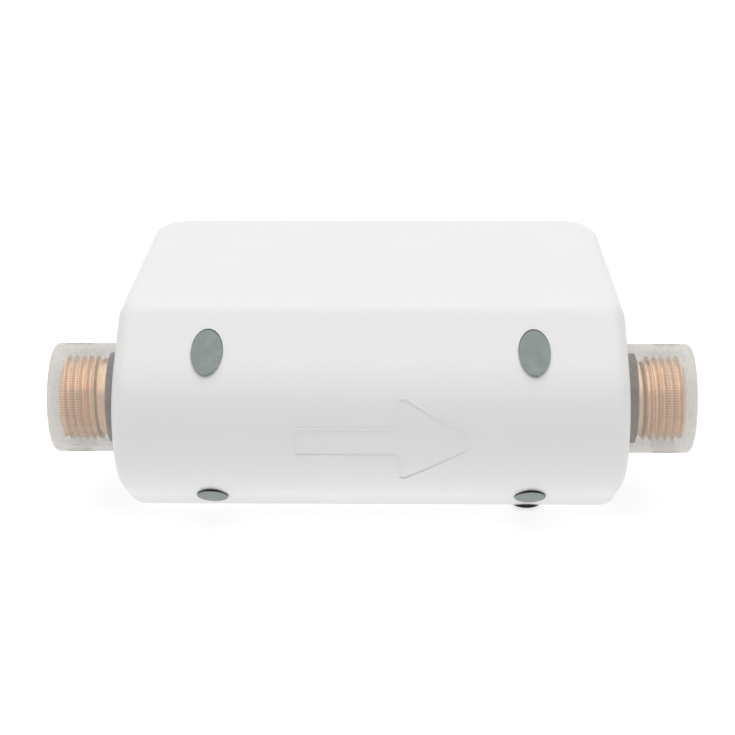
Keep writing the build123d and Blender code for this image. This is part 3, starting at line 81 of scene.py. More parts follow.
level = Vector((cos(YAW), sin(YAW), 0))
upward = Vector((-sin(YAW) * sin(RISE), cos(YAW) * sin(RISE), cos(RISE)))
right = level * cos(ROLL) + upward * sin(ROLL)
up = upward * cos(ROLL) - level * sin(ROLL)
back = right.cross(up)
camera = bpy.data.objects.new("camera", bpy.data.cameras.new("camera"))
bpy.context.scene.collection.objects.link(camera)
camera.data.sensor_width = SENSOR
camera.data.lens = SENSOR * DISTANCE / PICTURE_WIDTH
camera.data.clip_start, camera.data.clip_end = NEAREST, FURTHEST
stand = AXIS + right * AIM_RIGHT + up * AIM_UP + back * DISTANCE
camera.matrix_world = Matrix.Translation(stand) @ Matrix((right, up, back)).transposed().to_4x4()
bpy.context.scene.camera = camera
print("lens in mm:", round(camera.data.lens, 2))

# %% [markdown]
# ## Shader sums
# A material is easier to read as sums than as a web of nodes. This small class wraps the output of a
# node, so that adding or multiplying two of them adds the Math node that does it.


# %% Sums on sockets
class Field:
    """The output of one node, used like a number."""

    def __init__(self, nodes, socket):
        self.nodes, self.socket = nodes, socket

    def __add__(self, other):
        return self.nodes.maths("ADD", self, other)

    def __sub__(self, other):
        return self.nodes.maths("SUBTRACT", self, other)

    def __rsub__(self, other):
        return self.nodes.maths("SUBTRACT", other, self)

    def __mul__(self, other):
        return self.nodes.maths("MULTIPLY", self, other)

    __radd__ = __add__

    def between(self, start, end):
        """0 below start and 1 above end, with a soft step between."""
        sockets = {"Value": self, "From Min": start, "From Max": end}
        return self.nodes.node("ShaderNodeMapRange", {"interpolation_type": "SMOOTHSTEP"}, sockets)


# %% [markdown]
# Materials and the world are both trees of nodes. One class adds nodes to a tree and joins them up, so
# that the rest of the file can say in one line what a node is, how it is set and what feeds it.


# %% Trees of nodes
class Nodes:
    """A node tree that is built up in steps."""

    def __init__(self, tree):
        self.tree = tree

    def join(self, value, socket):
        """Gives a socket a link, if the value is a Field, or else the value itself."""
        if isinstance(value, Field):
            self.tree.links.new(value.socket, socket)
        else:
            socket.default_value = value

    def node(self, kind, settings=None, sockets=None, output=0):
        """Adds a node: its settings first, then a value or a link for each socket."""
        made = self.tree.nodes.new(kind)
        for name, value in (settings or {}).items():
            setattr(made, name, value)
        for name, value in (sockets or {}).items():
            self.join(value, made.inputs[name])
        return Field(self, made.outputs[output])

    def maths(self, operation, *values):
        return self.node("ShaderNodeMath", {"operation": operation}, dict(enumerate(values)))

    def part(self, vector, letter):
        """The X, Y or Z of a vector."""
        return self.node("ShaderNodeSeparateXYZ", {}, {"Vector": vector}, output=letter)


# %% [markdown]
# A recipe is one material. It starts from the Principled shader with the constants that the finish needs,
# and its methods add the patterns that all the finishes here are made of: noise of a stated size in
# millimetres, a mix of two colours, and a bump of a stated height. The Mix node has a set of sockets for
# each kind of value, so its colour sockets are picked by number.

# %% Recipes for materials
MIX_SHARE, MIX_FIRST, MIX_SECOND, MIX_COLOUR = 0, 6, 7, 2


class Recipe(Nodes):
    """A material built up in steps on object coordinates in metres."""

    def __init__(self, name, **constants):
        self.material = bpy.data.materials.new(name)
        self.material.use_nodes = True
        super().__init__(self.material.node_tree)
        self.shader = self.tree.nodes["Principled BSDF"]
        for words, value in constants.items():
            self.shader.inputs[words.replace("_", " ")].default_value = value
        self.place = self.node("ShaderNodeTexCoord", output="Object")

    def axis(self, letter):
        """One coordinate of the place, in millimetres."""
        return self.part(self.place, letter) * (1 / MM)

    def stretched(self, x, y, z):
        """The place in the piece, scaled along each axis to draw a pattern out."""
        return self.node("ShaderNodeMapping", {}, {"Vector": self.place, "Scale": (x, y, z)})

    def noise(self, size, detail=2.0, place=None, warp=0.0):
        """Noise whose lumps are about size millimetres across."""
        pattern = {"Scale": 1 / (size * MM), "Detail": detail, "Distortion": warp}
        return self.node("ShaderNodeTexNoise", {}, {"Vector": place or self.place, **pattern})

    def spots(self, size):
        """The distance from the nearest of many points, which lie about size millimetres apart."""
        return self.node("ShaderNodeTexVoronoi", {}, {"Vector": self.place, "Scale": 1 / (size * MM)})

    def blend(self, first, second, share):
        """Two colours mixed by a share that may change over the surface."""
        first, second = (c if isinstance(c, Field) else (*c, 1) for c in (first, second))
        sockets = {MIX_SHARE: share, MIX_FIRST: first, MIX_SECOND: second}
        return self.node("ShaderNodeMix", {"data_type": "RGBA"}, sockets, output=MIX_COLOUR)

    def finish(self, relief, height, **changing):
        """Joins what changes over the surface to the shader; height is the relief's, in millimetres."""
        for words, value in changing.items():
            self.join(value, self.shader.inputs[words.replace("_", " ").title()])
        bump = self.node("ShaderNodeBump", {}, {"Height": relief, "Distance": height * MM, "Strength": 1.0})
        self.join(bump, self.shader.inputs["Normal"])
        print(self.material.name, "nodes:", len(self.tree.nodes))
        return self.material


# %% [markdown]
# ## Finishes of the outside
# The casing is glossy white plastic. Real moulded plastic isn't perfectly flat: it has a very slight
# ripple, and its gloss varies from place to place. Both are noise, one on the relief and one on the
# roughness.

# %% White casing plastic
shell = Recipe("white_casing_plastic", IOR=1.5, Specular_IOR_Level=0.3)
ripple = shell.noise(2.6, 1.0)
handling = shell.noise(14, 3.0)
casing_plastic = shell.finish(
    base_color=shell.blend((0.81, 0.81, 0.805), (0.825, 0.825, 0.82), handling),
    roughness=0.3 + handling * 0.08,
    relief=ripple,
    height=0.004,
)

# %% [markdown]
# The caps are soft natural polyethylene, milky but thin enough to show the thread. Real milkiness is
# scattering inside the wall, which is slow to render. Here the outer surface hides not quite half of what
# is behind it, with faint clouds and a stripe for each grip groove, and the inner surface and its ribs
# hide almost nothing. So the cap's sizes come first: the shader uses them to tell the surfaces apart.

# %% Cap sizes
CAP_MOUTH, CAP_END, CAP_RADIUS = reach_of("outlet_cap")
GROOVES, BAND_START, BAND_END, LEAD_IN = 132, 70.2, 76.2, 0.2
print("cap from", CAP_MOUTH, "to", CAP_END, "mm along the pipe, radius", CAP_RADIUS)

# %% Milky cap plastic
OUTSIDE_START, OUTSIDE_END = CAP_RADIUS - 0.77, CAP_RADIUS - 0.57
TIP_START, TIP_END = CAP_END - 1.05, CAP_END - 0.75
BAND_STOP, FADE = BAND_END + LEAD_IN, 0.3
SINE_LOW, SINE_HIGH, LEAST_HIDDEN = -0.3, 0.6, 0.02

frost = Recipe("milky_cap_plastic", IOR=1.4, Specular_IOR_Level=0.12)
cloud = frost.noise(1.8, 3.0)
across_pipe = {0: frost.stretched(0, 1, 1), 1: AXIS}
from_axis = frost.node("ShaderNodeVectorMath", {"operation": "SUBTRACT"}, across_pipe)
off_axis = frost.node("ShaderNodeVectorMath", {"operation": "LENGTH"}, {0: from_axis}, output="Value")
along = frost.maths("ABSOLUTE", frost.axis("X"))
round_wall = (off_axis * (1 / MM)).between(OUTSIDE_START, OUTSIDE_END)
outside = frost.maths("MAXIMUM", round_wall, along.between(TIP_START, TIP_END))
band = along.between(BAND_START, BAND_START + FADE) * (1 - along.between(BAND_STOP - FADE, BAND_STOP))
angle = frost.maths("ARCTAN2", frost.part(from_axis, "Z"), frost.part(from_axis, "Y"))
stripes = band * frost.maths("SINE", angle * GROOVES).between(SINE_LOW, SINE_HIGH)
cap_plastic = frost.finish(
    base_color=frost.blend((0.54, 0.515, 0.47), (0.61, 0.58, 0.53), cloud),
    roughness=0.4 + cloud * 0.1,
    alpha=outside * (0.38 + cloud * 0.1 + stripes * 0.12) + LEAST_HIDDEN,
    relief=frost.noise(0.35, 2.0),
    height=0.003,
)

# %% [markdown]
# Rubber is matt, and fine dust and flow marks make it uneven. It is needed in three colours, so a
# function makes one from a dark and a light tone. The plugs' sides seldom get any light, so shade is
# painted on them: their colour turns near black where a place stands little out of the casing's slanted
# facets. Those facets touch a cylinder whose axis lies a little nearer the round back than the pipe's does,
# and that gives the distance.

# %% Facets of the casing
FACET, NOSE_RADIUS, NOSE_PLACE = radians(36.5), 21.5, -6.4
# The first of these is a near-black painted shade for the plugs' sides. The next two say where, out of the
# facets, it fades to the plugs' own colour.
PAINTED_SIDE_SHADE, SHADED_SIDE_TOP, FACE_START = (0.012, 0.014, 0.014), 0.30, 0.40


def above_facet(made):
    """How far a place stands out of the casing's slanted facets, in millimetres."""
    depth = made.axis("Y") - (AXIS.y / MM + NOSE_PLACE)
    height = made.maths("ABSOLUTE", made.axis("Z") - AXIS.z / MM)
    return height * cos(FACET) - depth * sin(FACET) - NOSE_RADIUS


print("facets stand", round(NOSE_RADIUS - NOSE_PLACE * sin(FACET), 2), "mm from the pipe's axis")


# %% Rubbers
def rubber(name, dark, light, painted_side_shade=False):
    """Dusty matt rubber; painted_side_shade paints shade on the sides of a piece that stands out of a facet.
    """
    made = Recipe(name, IOR=1.5, Specular_IOR_Level=0.35)
    dust = made.noise(3.0, 4.0)
    grain = made.noise(0.12, 2.0)
    colour = made.blend(dark, light, dust.between(0.35, 0.75))
    if painted_side_shade:
        # Painted shade: the sides close to the facet turn near black.
        colour = made.blend(PAINTED_SIDE_SHADE, colour, above_facet(made).between(SHADED_SIDE_TOP, FACE_START))
    return made.finish(
        base_color=colour,
        roughness=0.55 + dust * 0.2,
        relief=grain + made.noise(0.5, 1.0),
        height=0.015,
    )


plug_rubber_and_side_shade = rubber("grey_plug_rubber_and_side_shade", (0.235, 0.275, 0.26), (0.285, 0.325, 0.31), painted_side_shade=True)
black_rubber = rubber("black_rubber", (0.008, 0.008, 0.009), (0.02, 0.02, 0.022))
# The neck seals' dark slate grey is partly their rubber and partly painted shade: it stands for the shade in
# the gap between the casing and the pipe.
seal_rubber_and_gap_shade = rubber("slate_grey_rubber_and_gap_shade", (0.075, 0.07, 0.095), (0.15, 0.135, 0.155))

# %% [markdown]
# The pipe ends are turned metal with a warm copper colour. A lathe leaves fine rings round the axis, so
# the noise is drawn out round it: it follows the distance along the axis, and varies little across it.

# %% Turned metals
DRAWN_OUT = 0.02
ALONG_X, ALONG_Y = (1, DRAWN_OUT, DRAWN_OUT), (DRAWN_OUT, 1, DRAWN_OUT)


def turned(name, dark, light, rough, scale=ALONG_X, tarnish=0.4):
    """Metal off a lathe: fine rings across the axis, and clouds of tarnish."""
    made = Recipe(name, Metallic=1.0)
    rings = made.noise(0.18, 2.0, made.stretched(*scale))
    clouds = made.noise(5.0, 4.0)
    return made.finish(
        base_color=made.blend(light, dark, clouds.between(0.4, 0.8) * tarnish + rings * 0.2),
        roughness=rough + rings * 0.12 + clouds * 0.08,
        relief=rings,
        height=0.006,
    )


pipe_metal = turned("copper_toned_pipe_metal", (0.60, 0.36, 0.22), (1.0, 0.70, 0.46), rough=0.3)
brass_nut_metal = turned("brass_nut_metal", (0.52, 0.34, 0.12), (0.80, 0.60, 0.28), rough=0.2, scale=ALONG_Y)
stem_steel = turned(
    "stem_steel", (0.40, 0.40, 0.41), (0.66, 0.66, 0.67), rough=0.18, scale=ALONG_Y, tarnish=0.3)

# %% [markdown]
# ## Finishes of the inside
# The valve body is forged and then blasted, which leaves a skin of small dents. The ball is polished and
# plated, and only has faint scratches.

# %% Forged brass
forging = Recipe("forged_brass", Metallic=1.0)
dents = forging.noise(0.55, 4.0)
forge_cloud = forging.noise(7.0, 3.0)
forged_brass = forging.finish(
    base_color=forging.blend((0.46, 0.30, 0.11), (0.72, 0.53, 0.24), forge_cloud),
    roughness=0.38 + dents * 0.2,
    relief=dents,
    height=0.05,
)

# %% Plated ball
plate = Recipe("plated_ball", Metallic=1.0)
scratch = plate.noise(0.3, 2.0, plate.stretched(1, 1, 0.03))
ball_plating = plate.finish(
    base_color=plate.blend((0.70, 0.71, 0.73), (0.80, 0.81, 0.82), scratch),
    roughness=0.05 + scratch.between(0.55, 0.8) * 0.15,
    relief=scratch,
    height=0.001,
)

# %% [markdown]
# Screws are zinc plated: dull and cloudy, with a slight blue tint. The motor's can is nickel plated and
# the switch on the board is tinned. Both differ from zinc only in tone and in the size of the clouds.


# %% Plated metals
def plated(name, dark, light, rough, grain=1.5):
    """Sheet or screw metal with a cloudy plated skin."""
    made = Recipe(name, Metallic=1.0)
    clouds = made.noise(grain, 3.0)
    return made.finish(
        base_color=made.blend(dark, light, clouds),
        roughness=rough + clouds * 0.15,
        relief=made.noise(0.15, 2.0),
        height=0.004,
    )


zinc = plated("zinc_plated_steel", (0.50, 0.52, 0.56), (0.68, 0.70, 0.73), rough=0.28)
tin = plated("tinned_steel", (0.62, 0.62, 0.60), (0.76, 0.76, 0.74), rough=0.3, grain=3.0)
nickel = plated("nickel_plated_steel", (0.55, 0.53, 0.49), (0.72, 0.70, 0.66), rough=0.2, grain=4.0)


# %% [markdown]
# Moulded plastics differ in tone and in how fine their texture is. Glass-filled nylon shows a swirl of
# fibres, and acetal gears are waxy and let a little light in.


# %% Moulded plastics
def moulded(name, dark, light, rough, grain=0.3, height=0.01, **constants):
    """Plastic with a slow swirl in its colour and a fine texture on its skin."""
    made = Recipe(name, IOR=1.49, **constants)
    swirl = made.noise(6.0, 3.0, warp=1.5)
    texture = made.noise(grain, 3.0)
    return made.finish(
        base_color=made.blend(dark, light, swirl),
        roughness=rough + texture * 0.15,
        relief=texture,
        height=height,
    )


WAXY = {"Subsurface_Weight": 0.1}
gear_cream = moulded("cream_acetal", (0.66, 0.62, 0.50), (0.76, 0.72, 0.61), rough=0.3, **WAXY)
gear_white = moulded("white_acetal", (0.74, 0.73, 0.70), (0.82, 0.81, 0.78), rough=0.3, **WAXY)
cam_red = moulded("red_acetal", (0.42, 0.02, 0.015), (0.55, 0.04, 0.03), rough=0.32)
nylon = moulded("nylon", (0.62, 0.60, 0.52), (0.74, 0.72, 0.65), rough=0.4)
seat_white = moulded("seat_plastic", (0.72, 0.72, 0.69), (0.82, 0.82, 0.79), rough=0.35, grain=0.8)
lead_red = moulded("lead_insulation", (0.45, 0.015, 0.012), (0.55, 0.03, 0.02), rough=0.4, grain=0.6)
tray_plastic = moulded(
    "glass_filled_nylon", (0.012, 0.012, 0.013), (0.035, 0.035, 0.037), rough=0.42, grain=0.25, height=0.03)
black_plastic = moulded(
    "black_moulding", (0.010, 0.010, 0.011), (0.022, 0.022, 0.024), rough=0.35, grain=0.2, height=0.012)
panel_plastic = moulded(
    "panel_plastic", (0.66, 0.67, 0.68), (0.69, 0.70, 0.71), rough=0.16, grain=3.0, height=0.006)
button_plastic = moulded(
    "button_plastic", (0.76, 0.76, 0.76), (0.80, 0.80, 0.80), rough=0.32, grain=0.2, height=0.012)
sleeve_plastic = moulded(
    "capacitor_sleeve", (0.012, 0.016, 0.03), (0.02, 0.026, 0.045), rough=0.2, grain=1.0, height=0.004)

# %% [markdown]
# The ring round the button is a light guide. It is clear plastic with a frosted face, which spreads the
# light of the four lamps behind it. It is shown unlit, so it only looks pale and cold.

# %% Light guide
guide = Recipe("light_guide", IOR=1.49, Transmission_Weight=0.6)
haze = guide.noise(0.4, 2.0)
light_guide = guide.finish(
    base_color=guide.blend((0.80, 0.86, 0.90), (0.88, 0.93, 0.96), haze),
    roughness=0.35 + haze * 0.15,
    relief=haze,
    height=0.01,
)

# %% [markdown]
# A circuit board is glass cloth under a green lacquer. Copper tracks stand slightly proud under the
# lacquer and look lighter, and plated holes show as gold dots. A brick pattern on its side gives tracks
# that run and jog, and a circle round each of many scattered points gives the holes.

# %% Circuit board
TRACKS = {"Scale": 0.14, "Mortar Size": 0.035, "Brick Width": 1.7, "Row Height": 0.22}
HOLE_SPACING, HOLE_START, HOLE_END = 5.5, 0.055, 0.075

board = Recipe("circuit_board", IOR=1.5, Coat_Weight=0.4)
flat = board.node("ShaderNodeCombineXYZ", {}, {"X": board.axis("X"), "Y": board.axis("Z")})
jog = {"offset": 0.37, "squash": 0.6}
tracks = board.node("ShaderNodeTexBrick", jog, {"Vector": flat, **TRACKS}, output="Fac")
hole = 1 - board.spots(HOLE_SPACING).between(HOLE_START, HOLE_END)
weave = board.noise(0.5, 1.0, board.stretched(1, 1, 0.3))
lacquer = board.blend((0.008, 0.075, 0.032), (0.015, 0.12, 0.05), weave)
tracked = board.blend(lacquer, (0.03, 0.20, 0.08), tracks)
circuit_board = board.finish(
    base_color=board.blend(tracked, (0.75, 0.55, 0.22), hole),
    roughness=0.25 + weave * 0.1,
    metallic=hole,
    relief=tracks + weave * 0.15,
    height=0.03,
)

# %% [markdown]
# The radio module is a dark board with a pressed steel can. One node holds both, so the material tells
# them apart by their distance from the main board: what lies beyond the module's own board is the can.

# %% Radio module
MODULE_BOARD, SOFT_EDGE = 0.83, 0.04
module_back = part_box("radio_module")[0].y / MM + MODULE_BOARD

module = Recipe("radio_module_finish", IOR=1.5)
can_share = module.axis("Y").between(module_back, module_back + SOFT_EDGE)
brushed = module.noise(0.25, 2.0, module.stretched(0.05, 1, 1))
can_metal = module.blend((0.60, 0.60, 0.58), (0.74, 0.74, 0.72), brushed)
radio_finish = module.finish(
    base_color=module.blend((0.008, 0.008, 0.010), can_metal, can_share),
    roughness=0.28 + brushed * 0.15,
    metallic=can_share,
    relief=brushed,
    height=0.004,
)

# %% [markdown]
# The indicator lamps are small blocks of pale yellow resin under a clear skin. Fine grains in the resin
# spread their light, and show as a faint mottle.

# %% Indicator lamps
lamp = Recipe("lamp_resin", IOR=1.5, Coat_Weight=0.3)
grains = lamp.noise(0.15, 2.0)
lamp_resin = lamp.finish(
    base_color=lamp.blend((0.80, 0.76, 0.50), (0.86, 0.84, 0.66), grains),
    roughness=0.2 + grains * 0.2,
    relief=grains,
    height=0.01,
)

# %% [markdown]
# ## Finishes on the CAD pieces
# Most of the solids already have the right shape, so each one only gets its finish in its material slot.

# %% Finish for each solid
finishes = {
    casing_plastic: ["back_shell", "front_shell"],
    plug_rubber_and_side_shade: ["screw_plugs"],
    black_rubber: ["shell_seal", "lead_gland", "stem_rings"],
    seal_rubber_and_gap_shade: ["inlet_neck_seal", "outlet_neck_seal"],
    zinc: ["case_screws", "board_screws", "drive_screws", "cover_screws", "motor_screws"],
    panel_plastic: ["front_panel"],
    light_guide: ["light_ring"],
    button_plastic: ["push_button"],
    black_plastic: ["switch_plunger", "driver_chip", "buzzer", "open_switch", "closed_switch"],
    tin: ["board_switch"],
    circuit_board: ["main_board"],
    radio_finish: ["radio_module"],
    lamp_resin: ["status_lights"],
    sleeve_plastic: ["capacitor"],
    gear_white: ["lead_headers", "transfer_gear", "first_gear"],
    forged_brass: ["valve_body"],
    ball_plating: ["ball"],
    stem_steel: ["stem", "transfer_pin", "first_pin", "motor_shaft"],
    brass_nut_metal: ["gland_nut"],
    tray_plastic: ["gearbox_tray", "gearbox_cover"],
    gear_cream: ["output_gear", "motor_pinion"],
    cam_red: ["position_cam"],
    nickel: ["motor_can", "reduction_head"],
    nylon: ["motor_end_cap"],
    seat_white: ["inlet_seat", "outlet_seat"],
    lead_red: ["motor_leads", "switch_leads"],
    pipe_metal: ["inlet_nipple", "outlet_nipple"],
    cap_plastic: ["inlet_cap", "outlet_cap"],
}
for finish, names in finishes.items():
    for name in names:
        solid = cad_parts[name]
        solid.data.materials.clear()
        solid.data.materials.append(finish)
print("solids with a finish:", sum(len(names) for names in finishes.values()), "of", len(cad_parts))

# %% [markdown]
# ## Making pieces
# Every new piece starts as a bmesh. This function turns one into an object, gives it its finish, makes it
# ride on its body, and hides the solids it stands for.

# %% Keep a piece
SAME_PLACE = 0.002 * MM
ENDS = (("inlet", -1), ("outlet", 1))


def keep(bm, name, finish, body, replaces=(), smooth=35):
    """Closes and cleans the mesh, points its faces outwards and hangs it on its body."""
    bmesh.ops.remove_doubles(bm, verts=bm.verts, dist=SAME_PLACE)
    bmesh.ops.recalc_face_normals(bm, faces=bm.faces)
    mesh = bpy.data.meshes.new(name)
    bm.to_mesh(mesh)
    bm.free()
    piece = bpy.data.objects.new(name, mesh)
    bpy.context.scene.collection.objects.link(piece)
    mesh.materials.append(finish)
    mesh.shade_smooth()
    mesh.set_sharp_from_angle(angle=radians(smooth))
    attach(piece, body)
    if replaces:
        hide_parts(*replaces)
    print(name, "faces:", len(mesh.polygons))
    return piece


# %% [markdown]
# Caps and pipe ends are both turned about the pipe. A half section is drawn in the plane through the
# axis, as places along the pipe and radii in millimetres, and then spun once round.


# %% Turned pieces
def on_pipe(side, along, radius):
    """A place above the axis; side is -1 for the inlet's mirror image."""
    return AXIS + Vector((side * along, 0, radius)) * MM


def spun(bm, section, steps, side):
    """Spins a closed half section about the pipe's axis."""
    points = [bm.verts.new(on_pipe(side, *point)) for point in section]
    edges = [bm.edges.new((a, b)) for a, b in zip(points, points[1:] + points[:1])]
    bmesh.ops.spin(
        bm, geom=points + edges, axis=(1, 0, 0), cent=AXIS, angle=2 * pi, steps=steps, use_merge=True)


def reach(vert):
    """How far a vertex is from the pipe's axis, and its angle round it."""
    offset = vert.co - AXIS
    return Vector((0, offset.y, offset.z)).length, atan2(offset.z, offset.y)


def set_reach(vert, radius):
    """Moves a vertex straight out or in to a radius about the pipe."""
    now = reach(vert)[0]
    vert.co.y = AXIS.y + (vert.co.y - AXIS.y) * radius / now
    vert.co.z = AXIS.z + (vert.co.z - AXIS.z) * radius / now


# %% [markdown]
# The protective cap is a thin cup with a rounded edge. Fine grooves round its closed end give a grip, and
# ribs inside hold on to the thread. The cup is spun in twice as many steps as there are grooves, and then
# every second column of vertices in the grooved band is pushed in by about a tenth of a millimetre.

# %% Protective caps
CAP_BORE, CAP_FLOOR, FLAT_RADIUS, INNER_CORNER = 12.22, 77.45, 11.6, 0.55
ROUNDING, ROUND_STEPS, GROOVE_DEPTH = 1.3, 6, 0.12
RIBS, RIB_SIZE, RIB_PLACE, RIB_RADIUS = 12, (10.6, 0.9, 1.6), 72.2, 11.45


def cap_section():
    """Half of the cap's cut face, from the mouth over the outside and back along the bore."""
    wall = [(CAP_MOUTH, CAP_RADIUS - LEAD_IN), (CAP_MOUTH + LEAD_IN, CAP_RADIUS)]
    wall += [(BAND_START - LEAD_IN, CAP_RADIUS), (BAND_START, CAP_RADIUS)]
    wall += [(BAND_END, CAP_RADIUS), (BAND_END + LEAD_IN, CAP_RADIUS)]
    quarter = [n * pi / 2 / ROUND_STEPS for n in range(ROUND_STEPS + 1)]
    edge = [(CAP_END - ROUNDING * (1 - sin(a)), CAP_RADIUS - ROUNDING * (1 - cos(a))) for a in quarter]
    tip = [(CAP_END, FLAT_RADIUS), (CAP_END, 0), (CAP_FLOOR, 0), (CAP_FLOOR, FLAT_RADIUS)]
    return wall + edge + tip + [(CAP_FLOOR - INNER_CORNER, CAP_BORE), (CAP_MOUTH, CAP_BORE)]


def press_grooves(bm):
    """Pushes in every second column of the outer vertices at the ends of the grooved band."""
    for vert in bm.verts:
        radius, angle = reach(vert)
        column = round(angle / pi * GROOVES)
        in_band = BAND_START - LEAD_IN / 2 < abs(vert.co.x) / MM < BAND_END + LEAD_IN / 2
        if in_band and column % 2 and radius > (CAP_BORE + CAP_RADIUS) / 2 * MM:
            set_reach(vert, radius - GROOVE_DEPTH * MM)


def cap(bm, side):
    spun(bm, cap_section(), 2 * GROOVES, side)
    press_grooves(bm)
    for n in range(RIBS):
        rib = bmesh.ops.create_cube(bm, size=MM)["verts"]
        bmesh.ops.scale(bm, verts=rib, vec=RIB_SIZE)
        bmesh.ops.translate(bm, verts=rib, vec=on_pipe(side, RIB_PLACE, RIB_RADIUS))
        bmesh.ops.rotate(bm, verts=rib, cent=AXIS, matrix=Matrix.Rotation(2 * pi * n / RIBS, 3, "X"))


for end, side in ENDS:
    bm = bmesh.new()
    cap(bm, side)
    keep(bm, end + "_screw_cap", cap_plastic, end + "_cover", [end + "_cap"])

# %% [markdown]
# A rubber plug closes each screw pocket. The pockets run level, but the facets slope, so the plug is a
# round bar cut off along the facet. It stands a little proud, and the shade painted on its side then shows
# as a thin dark crescent at the rim, as in the photograph. A cylinder is cut with bisect_plane, filled, and
# its rim bevelled.

# %% Pocket plugs
POCKET, CLEARANCE, PROUD, RIM = 3.75, 0.01, 0.5, 0.12
BAR_PLACE, BAR_LENGTH, BAR_SIDES, RIM_STEPS = -18.2, 18, 72, 3
_, plugs_end, plugs_half = reach_of("screw_plugs", digits=3)
POCKET_X, POCKET_Z = round(plugs_end - POCKET, 3), plugs_half - POCKET


def plug(bm, side, level):
    """A level bar at one pocket, cut along the facet; level is 1 above the axis and -1 below."""
    radius = (POCKET - CLEARANCE) * MM
    bar = bmesh.ops.create_cone(
        bm, cap_ends=True, segments=BAR_SIDES, radius1=radius, radius2=radius, depth=BAR_LENGTH * MM)["verts"]
    middle = AXIS + Vector((side * POCKET_X, BAR_PLACE, level * POCKET_Z)) * MM
    bmesh.ops.rotate(bm, verts=bar, matrix=Matrix.Rotation(pi / 2, 3, "X"))
    bmesh.ops.translate(bm, verts=bar, vec=middle)
    facing = Vector((0, -sin(FACET), level * cos(FACET)))
    on_facet = AXIS + (Vector((0, NOSE_PLACE, 0)) + facing * (NOSE_RADIUS + PROUD)) * MM
    geom = bar + list({e for v in bar for e in v.link_edges}) + list({f for v in bar for f in v.link_faces})
    cut = bmesh.ops.bisect_plane(bm, geom=geom, plane_co=on_facet, plane_no=facing, clear_outer=True)
    rim = [e for e in cut["geom_cut"] if isinstance(e, bmesh.types.BMEdge)]
    bmesh.ops.holes_fill(bm, edges=rim)
    bmesh.ops.bevel(
        bm, geom=rim, offset=RIM * MM, segments=RIM_STEPS, affect="EDGES", profile=0.5, material=-1)


bm = bmesh.new()
for side in (-1, 1):
    for level in (-1, 1):
        plug(bm, side, level)
keep(bm, "pocket_plugs", plug_rubber_and_side_shade, "housing", ["screw_plugs"], smooth=30)

# %% [markdown]
# The pipe end is one turned and threaded piece: a spigot in the valve body, a hexagon for the spanner, a
# tube, a neck and the thread. The section below is the plain turned part, from the spigot to the tip.

# %% Plain part of a pipe end
PIPE_START, PIPE_TIP, HALF_FLATS = reach_of("outlet_nipple")
NECK_END = reach_of("outlet_neck_seal")[1]
BORE, SPIGOT, TUBE, NECK, CORE = 7.5, 12.6, 11, 9.6, 9.32
SPIGOT_END, TUBE_END, CORE_START = 17.1, 56.8, NECK_END + 0.2
BORE_BREAK, TUBE_BREAK, TIP_LENGTH, TIP_DEPTH = 0.4, 0.3, 0.6, 0.62
PIPE_STEPS = 96


def plain_pipe(bm, side):
    start = [(PIPE_START, BORE + BORE_BREAK), (PIPE_START, SPIGOT), (SPIGOT_END, SPIGOT), (SPIGOT_END, TUBE)]
    tube = [(TUBE_END - TUBE_BREAK, TUBE), (TUBE_END, TUBE - TUBE_BREAK), (TUBE_END, NECK)]
    neck = [(NECK_END, NECK), (CORE_START, CORE), (PIPE_TIP - TIP_LENGTH, CORE)]
    tip = [(PIPE_TIP, CORE - TIP_DEPTH), (PIPE_TIP, BORE + BORE_BREAK)]
    bore = [(PIPE_TIP - BORE_BREAK, BORE), (PIPE_START + BORE_BREAK, BORE)]
    spun(bm, start + tube + neck + tip + bore, PIPE_STEPS, side)


# %% [markdown]
# The hexagon starts as a spun ring with bevelled edges. Its outer vertices are then pulled in to six
# flats, which leaves the curved corners that a turned and milled hexagon has.

# %% Hexagon
HEX_START, HEX_END, HEX_CORNER, HEX_INSIDE = 17, 22, 16.2, 10.5
BEVEL_LENGTH, BEVEL_DEPTH = 0.7, 1.0


def hexagon(bm, side):
    before = set(bm.verts)
    low_corner = HEX_CORNER - BEVEL_DEPTH
    near = [(HEX_START, HEX_INSIDE), (HEX_START, low_corner), (HEX_START + BEVEL_LENGTH, HEX_CORNER)]
    far = [(HEX_END - BEVEL_LENGTH, HEX_CORNER), (HEX_END, low_corner), (HEX_END, HEX_INSIDE)]
    spun(bm, near + far, PIPE_STEPS, side)
    for vert in set(bm.verts) - before:
        radius, angle = reach(vert)
        flat = HALF_FLATS * MM / cos((angle % (pi / 3)) - pi / 6)
        if radius > TUBE * MM:
            set_reach(vert, min(radius, flat))


# %% [markdown]
# The thread is a ridge with sloping flanks that is spun with a forward step, so it climbs as a true
# helix. Its height fades out over the first and last turn, as a cut thread's does. The sizes are those of
# a half-inch parallel pipe thread: 14 turns to the inch.

# %% Thread
PITCH, TURNS, TURN_STEPS = 1.814, 5.6, 48
THREAD_START, ROOT, CREST = 65.9, 9.25, 10.48
FLANK, LAND, LEAST = 0.58, 0.22, 0.1
RIDGE_FOOT = 2 * FLANK + LAND


